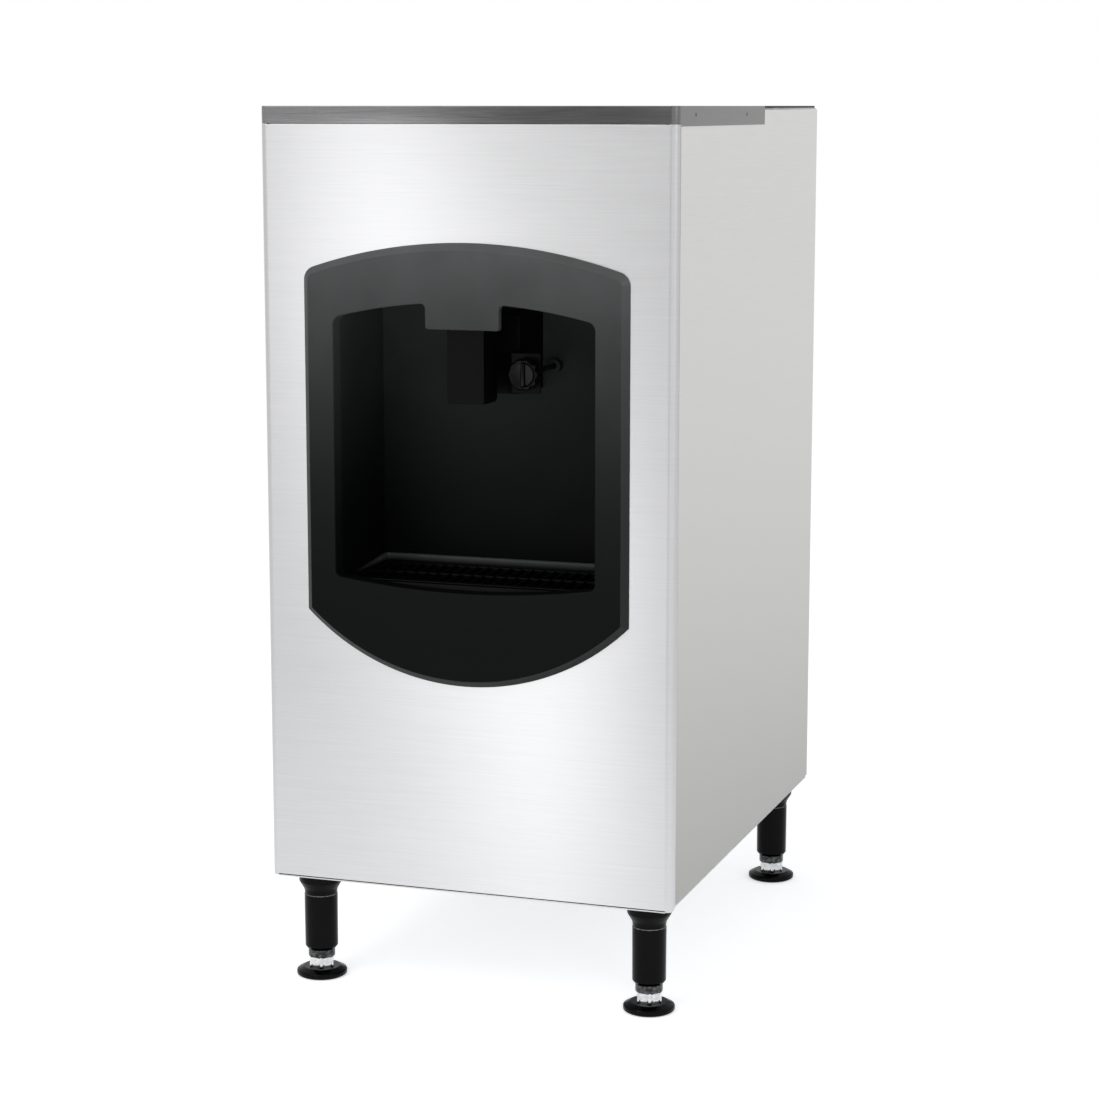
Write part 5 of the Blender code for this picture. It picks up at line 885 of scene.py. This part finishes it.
SINK_HALF = 180 * MM
SINK_FRONT, SINK_REAR = -353.2 * MM, -199.8 * MM
SINK_CORNER = 10 * MM
SINK_LEDGE, SINK_RIM_HEIGHT = 551 * MM, 12 * MM
SINK_PROFILE = [
    (0, 500.3, 0),
    (0, 563, 2.5),
    (8, 563, 2),
    (8, 551, 1),
    (14, 551, 1.5),
    (14, 503.3, 4),
    (24, 503.3, 0),
]
RIM_SLOPE = (-5 * MM, 7 * MM)
DRAIN_Y = -244.8 * MM
DRAIN_HOLE = 16.3 * MM
DRAIN_HOLE_TOP, DRAIN_HOLE_FOOT = 503.3 * MM, 500.3 * MM
GRILLE_FOOT, GRILLE_TOP = 551.3 * MM, 559.3 * MM
GRILLE_PROFILE = [(8.3, 551.3, 0.5), (8.3, 559.3, 1.5), (16.3, 559.3, 1.5), (16.3, 551.3, 0.5)]
GRILLE_INNER = 163.7 * MM
GRILLE_BARS = 20
GRILLE_BAR, GRILLE_CROSS_BAR = 3.5 * MM, 6 * MM
BAR_INSET, BAR_LAP = 12 * MM, 4 * MM
BAR_EASE, BAR_FOOT_EASE = 1.5 * MM, 0.3 * MM
CROSS_BAR_DROP = 0.4 * MM


def tray_ring(inset, z):
    """A rectangle with rounded corners, moved inwards by inset, as a ring at a height."""
    half = SINK_HALF - inset
    front, rear = SINK_FRONT + inset, SINK_REAR - inset
    radius = max(SINK_CORNER - inset, 1.0 * MM)
    corners = [(half, front), (half, rear), (-half, rear), (-half, front)]
    ring = rounded_path([(*corner, radius) for corner in corners], 8, closed=True)
    return np.column_stack([ring, np.full(len(ring), z)])


def sink_moulding():
    """Rings from the foot up the outer wall, over the rim, down to the ledge and the floor, in to
    the drain hole, and back along the underside. The rim is lowered in front and raised behind, in
    proportion to the depth."""
    rings = [tray_ring(inset, z) for inset, z in rounded_path(SINK_PROFILE, 5) * MM]
    for ring in rings:
        share = (ring[:, 1] - SINK_FRONT) / (SINK_REAR - SINK_FRONT)
        upper = np.clip((ring[:, 2] - SINK_LEDGE) / SINK_RIM_HEIGHT, 0, 1)
        ring[:, 2] += upper * (RIM_SLOPE[0] + share * (RIM_SLOPE[1] - RIM_SLOPE[0]))
    way = rings[0][:, :2] - (0, DRAIN_Y)
    hole = way / np.hypot(way[:, 0], way[:, 1])[:, None] * DRAIN_HOLE + (0, DRAIN_Y)
    for z in (DRAIN_HOLE_TOP, DRAIN_HOLE_FOOT):
        rings.append(np.column_stack([hole, np.full(len(hole), z)]))
    rings.append(rings[0])
    return skin("sink_moulding", np.stack(rings), sharp=35)


def grille_bar(low, high, y_low, y_high, top):
    """A bar between two widths and two depths, with its upper edges rounded, closed at the ends."""
    foot = [(low, GRILLE_FOOT, BAR_FOOT_EASE), (high, GRILLE_FOOT, BAR_FOOT_EASE)]
    section = rounded_path([*foot, (high, top, BAR_EASE), (low, top, BAR_EASE)], 4, closed=True)
    ring = np.stack([section[:, 0], section[:, 0] * 0, section[:, 1]], -1)
    middle = ring * 0 + ((low + high) / 2, 0, (GRILLE_FOOT + top) / 2)
    places = np.array([y_low, y_low, y_high, y_high])[:, None, None] * (0, 1, 0)
    return np.stack([middle, ring, ring, middle]) + places


def grille_moulding():
    """A frame of rings with rounded upper edges, with bars across it and one bar along it."""
    section = rounded_path(GRILLE_PROFILE, 4, closed=True) * MM
    frame_rings = np.stack([tray_ring(inset, z) for inset, z in section])
    front, rear = SINK_FRONT + BAR_INSET, SINK_REAR - BAR_INSET
    gap = (2 * GRILLE_INNER - GRILLE_BARS * GRILLE_BAR) / (GRILLE_BARS + 1)
    lows = -GRILLE_INNER + gap + np.arange(GRILLE_BARS) * (gap + GRILLE_BAR)
    bars = [grille_bar(low, low + GRILLE_BAR, front, rear, GRILLE_TOP) for low in lows]
    half, reach = GRILLE_CROSS_BAR / 2, GRILLE_INNER + BAR_LAP
    cross = grille_bar(-half, half, -reach, reach, GRILLE_TOP - CROSS_BAR_DROP)
    cross = cross[..., (1, 0, 2)] + (0, (SINK_FRONT + SINK_REAR) / 2, 0)
    return skin("grille_moulding", frame_rings, *bars, cross, sharp=40)


# Painted highlight: the sink's rim turns lighter grey over the top few millimetres of its height.
tray = moulded_abs("black_abs_gloss", "#070707", "#4A4C4C", (0.26, 0.34), 0.06, 0.5605, 0.568)
fit(sink_moulding(), tray, "black_abs", "cabinet", "drip_sink")
fit(grille_moulding(), tray, "black_abs", "grille", "drip_grille")


# Push lever and microswitch
# The lever is a black moulded channel that hangs on a steel pin. A glass or hand pushes its face
# back, and a bar across it then presses the switch. Its face is bare.

fit(eased("push_lever", 0.9 * MM), HOOD_ABS, "black_abs", "lever", "push_lever")
dress(HOOD_ABS, "microswitch")


# Ice bin, chute and insulation
# The liner and the chute are vacuum-formed white plastic for food, and rigid foam stands round
# them.


def white_liner():
    """White polyethylene: faint ripples of the forming, 12 mm long, and a soft shine."""
    material, tree, shader, where = new_material("white_polyethylene", IOR=1.5)
    ripple = add(tree, "ShaderNodeTexNoise", {"Scale": 1 / (12 * MM), "Detail": 2.0}, Vector=where)
    whites, depth = ("#E4E8E8", "#EEF1F1"), (0.1, 0.3 * MM)
    vary(tree, shader, ripple.outputs["Fac"], whites, (0.32, 0.44), relief=depth)
    return material


def rigid_foam():
    """Polyurethane foam: straw-coloured, matt, with cells 2 mm across."""
    material, tree, shader, where = new_material("polyurethane_foam")
    cells = add(tree, "ShaderNodeTexVoronoi", {"Scale": 1 / (2 * MM)}, Vector=where)
    straws, depth = ("#C9BC93", "#DDD2AF"), (0.4, 0.4 * MM)
    vary(tree, shader, cells.outputs["Distance"], straws, (0.85, 0.95), (0, 0.6), depth)
    return material


dress(white_liner(), "bin_liner", "ice_chute")
dress(rigid_foam(), "bin_insulation")


# Lift wheel, agitator, bearings and gearmotor
# The wheel is machined white nylon on a polished stainless shaft, which runs in brass bushes. The
# gearmotor is grey-painted cast aluminium.


def white_nylon():
    """Nylon: milky white, with tool marks 1.5 mm apart."""
    material, tree, shader, where = new_material("machined_nylon", IOR=1.53)
    marks = add(tree, "ShaderNodeTexNoise", {"Scale": 1 / (1.5 * MM), "Detail": 2.0}, Vector=where)
    whites, depth = ("#DEDDD6", "#EAE9E3"), (0.1, 0.1 * MM)
    vary(tree, shader, marks.outputs["Fac"], whites, (0.36, 0.50), relief=depth)
    return material


def polished_steel():
    """Polished stainless: bright, with a haze of 6 mm that varies its gloss."""
    material, tree, shader, where = new_material("polished_steel", Metallic=1.0)
    wear = add(tree, "ShaderNodeTexNoise", {"Scale": 160.0, "Detail": 3.0}, Vector=where)
    vary(tree, shader, wear.outputs["Fac"], ("#D8D9DA", "#EDEDED"), (0.08, 0.20))
    return material


def bearing_brass():
    """Turned brass, dulled a little in patches of 11 mm."""
    material, tree, shader, where = new_material("bearing_brass", Metallic=1.0)
    patches = add(tree, "ShaderNodeTexNoise", {"Scale": 90.0, "Detail": 3.0}, Vector=where)
    vary(tree, shader, patches.outputs["Fac"], ("#B08F55", "#D9BC82"), (0.24, 0.42))
    return material


def painted_casting():
    """Grey enamel on cast aluminium: the sand's 1.5 mm grain shows through."""
    material, tree, shader, where = new_material("painted_casting", Metallic=0.3)
    grain = add(tree, "ShaderNodeTexNoise", {"Scale": 1 / (1.5 * MM), "Detail": 3.0}, Vector=where)
    greys, depth = ("#5B6064", "#70767B"), (0.3, 0.2 * MM)
    vary(tree, shader, grain.outputs["Fac"], greys, (0.45, 0.62), relief=depth)
    return material


NYLON = white_nylon()
dress(NYLON, "lift_wheel", "switch_plunger", "sink_drain", "bin_drain")
dress(NYLON, "sink_drain_outlet", "bin_drain_outlet")
dress(polished_steel(), "agitator_shaft", "lever_pin", "lever_spring")
dress(bearing_brass(), "front_bush", "rear_bush")
dress(painted_casting(), "gear_housing", "drive_motor")


# Drain hoses and power inlet
# Pale vinyl hose pushed over the drains and the outlets, and a black moulded mains inlet in the
# rear's lower edge.


def vinyl_hose():
    """Soft vinyl: cloudy, with a slow ripple from the die."""
    material, tree, shader, where = new_material("vinyl_hose", IOR=1.53)
    ripple = add(tree, "ShaderNodeTexNoise", {"Scale": 60.0, "Detail": 2.0}, Vector=where)
    vary(tree, shader, ripple.outputs["Fac"], ("#BFC5C5", "#D3D8D7"), (0.38, 0.52))
    return material


dress(vinyl_hose(), "sink_drain_hose", "bin_drain_hose")
dress(HOOD_ABS, "power_inlet")


# Legs
# A flared steel sleeve and a round foot in glossy black powder coat, with a grey band painted on
# the sleeve's crease as a highlight, and a chromed hexagonal stem that screws in and out of the
# sleeve;
# the stem's collar is painted dark as the sleeve's shade.

LEG_PLACES = {
    "front_left": (-233 * MM, -312.5 * MM),
    "front_right": (233 * MM, -312.5 * MM),
    "rear_left": (-233 * MM, 337.5 * MM),
    "rear_right": (233 * MM, 337.5 * MM),
}
SLEEVE_PROFILE = [
    (0, 150, 0),
    (29.5, 150, 0.8),
    (29.5, 133, 6),
    (23, 122, 10),
    (21.8, 115.4, 0.4),
    (22.6, 114.6, 0.7),
    (22.3, 42, 1.6),
    (19.3, 38, 0.8),
    (9.3, 38, 0.5),
    (9.3, 98, 0.5),
    (0, 98, 0),
]
FOOT_PROFILE = [
    (0, 8, 0),
    (8.3, 8, 0.3),
    (8.3, 12.6, 0.5),
    (25, 12.6, 5),
    (34.4, 8, 3.2),
    (34.2, 2.2, 2.4),
    (30.6, 0, 1.2),
    (0, 0, 0),
]
HIGHLIGHT_FOOT, HIGHLIGHT_TOP = 114.1 * MM, 115.3 * MM
STEM_PROFILE = [
    (0, 8.3, 0),
    (8, 8.3, 0),
    (8, 12.8, 0),
    (16.8, 12.8, 0),
    (18.6, 14, 0),
    (18.6, 26, 0),
    (18, 27, 0),
    (18.2, 28, 0),
    (18.2, 37, 0),
    (17.2, 37.7, 0),
    (9, 37.7, 0),
]
STEM_HALF_FLATS = 16 * MM
STEM_TURN = math.radians(20)
COLLAR_FOOT, COLLAR_TOP = 27 * MM, 38 * MM
THREAD_RADIUS, THREAD_PITCH, THREAD_DEPTH = 9 * MM, 2.5 * MM, 0.9 * MM
THREAD_TOP = 82 * MM
STEM_TIP = [(8.2, 82.7), (0, 82.7)]
TURN = np.linspace(0, math.tau, 73)


def turned(name, radius, height, place, sharp=32):
    """Radii and heights, row by row, turned once about an upright axis."""
    x, y = place[0] + radius * np.cos(TURN), place[1] + radius * np.sin(TURN)
    return skin(name, np.stack([x, y, height + 0 * TURN], -1), sharp=sharp)


def hex_stem(name, place):
    """A profile turned about the axis whose radius is held to a hexagon, which is the half width
    over flats divided by the cosine of the angle from the nearest flat. A round collar stands on
    it. Above that the radius swings in and out as a screw thread, a cosine of the height less the
    turn."""
    rise = np.arange(COLLAR_TOP, THREAD_TOP, THREAD_PITCH / 6)
    thread = np.stack([np.full_like(rise, THREAD_RADIUS), rise], -1)
    profile = np.concatenate([rounded_path(STEM_PROFILE) * MM, thread, np.array(STEM_TIP) * MM])
    reach, height = profile[:, :1], profile[:, 1:]
    flat = (TURN - STEM_TURN + math.pi / 6) % (math.pi / 3) - math.pi / 6
    hexagon = np.minimum(reach, STEM_HALF_FLATS / np.cos(flat))
    wave = THREAD_DEPTH * (1 - np.cos(math.tau * height / THREAD_PITCH - TURN)) / 2
    threaded = (height >= COLLAR_TOP) & (height < THREAD_TOP)
    radius = np.where(height < COLLAR_FOOT, hexagon, reach)
    return turned(name, radius - np.where(threaded, wave, 0), height, place, sharp=25)


def powder_coat(name, low_tone, high_tone):
    """Powder coat: glossy, with the 2 mm orange peel of the fused powder."""
    material, tree, shader, where = new_material(name, Specular_IOR_Level=0.08)
    peel = add(tree, "ShaderNodeTexNoise", {"Scale": 1 / (2 * MM), "Detail": 1.0}, Vector=where)
    tones, depth = (low_tone, high_tone), (0.15, 0.1 * MM)
    vary(tree, shader, peel.outputs["Fac"], tones, (0.14, 0.22), relief=depth)
    return material


def chrome():
    """Chrome plate on turned steel, hazed in patches of 6 mm by handling."""
    material, tree, shader, where = new_material("chrome_plate", Metallic=1.0)
    wear = add(tree, "ShaderNodeTexNoise", {"Scale": 1 / (6 * MM), "Detail": 3.0}, Vector=where)
    vary(tree, shader, wear.outputs["Fac"], ("#C2C3C5", "#D8D9DA"), (0.08, 0.16), (0.4, 0.6))
    return material


def collar_shade_chrome():
    """Painted shade on the collar: dark chrome, with grey clouds 5 mm across, standing for the
    sleeve's shade on the stem.
    """
    material, tree, shader, where = new_material("collar_painted_shade", Metallic=0.7)
    cloud = add(tree, "ShaderNodeTexNoise", {"Scale": 1 / (5 * MM), "Detail": 2.0}, Vector=where)
    vary(tree, shader, cloud.outputs["Fac"], ("#232324", "#5A5B5C"), (0.2, 0.3), (0.4, 0.65))
    return material


BLACK_POWDER = powder_coat("black_powder_coat", "#020202", "#040404")
CREASE_HIGHLIGHT_POWDER = powder_coat("crease_painted_highlight", "#4A4A4A", "#8A8A8A")
CHROME = chrome()
COLLAR_SHADE_CHROME = collar_shade_chrome()
SLEEVE, PAD = (rounded_path(corners) * MM for corners in (SLEEVE_PROFILE, FOOT_PROFILE))
for leg, place in LEG_PLACES.items():
    sleeve = turned(f"{leg}_turned_sleeve", SLEEVE[:, :1], SLEEVE[:, 1:], place)
    fit(sleeve, BLACK_POWDER, "black_polyester", "cabinet", f"{leg}_leg_sleeve")
    # Painted highlight: a grey band on the sleeve's crease.
    second_finish(sleeve, CREASE_HIGHLIGHT_POWDER, lambda x, y, z: (z > HIGHLIGHT_FOOT) & (z < HIGHLIGHT_TOP))
    stem = hex_stem(f"{leg}_hex_stem", place)
    fit(stem, CHROME, "polished_steel", f"{leg}_level", f"{leg}_leg_stem")
    # Painted shade: the collar under the sleeve is dark.
    second_finish(stem, COLLAR_SHADE_CHROME, lambda x, y, z: (z > COLLAR_FOOT) & (z < COLLAR_TOP))
    pad = turned(f"{leg}_turned_foot", PAD[:, :1], PAD[:, 1:], place)
    fit(pad, BLACK_POWDER, "black_polyester", f"{leg}_level", f"{leg}_foot")
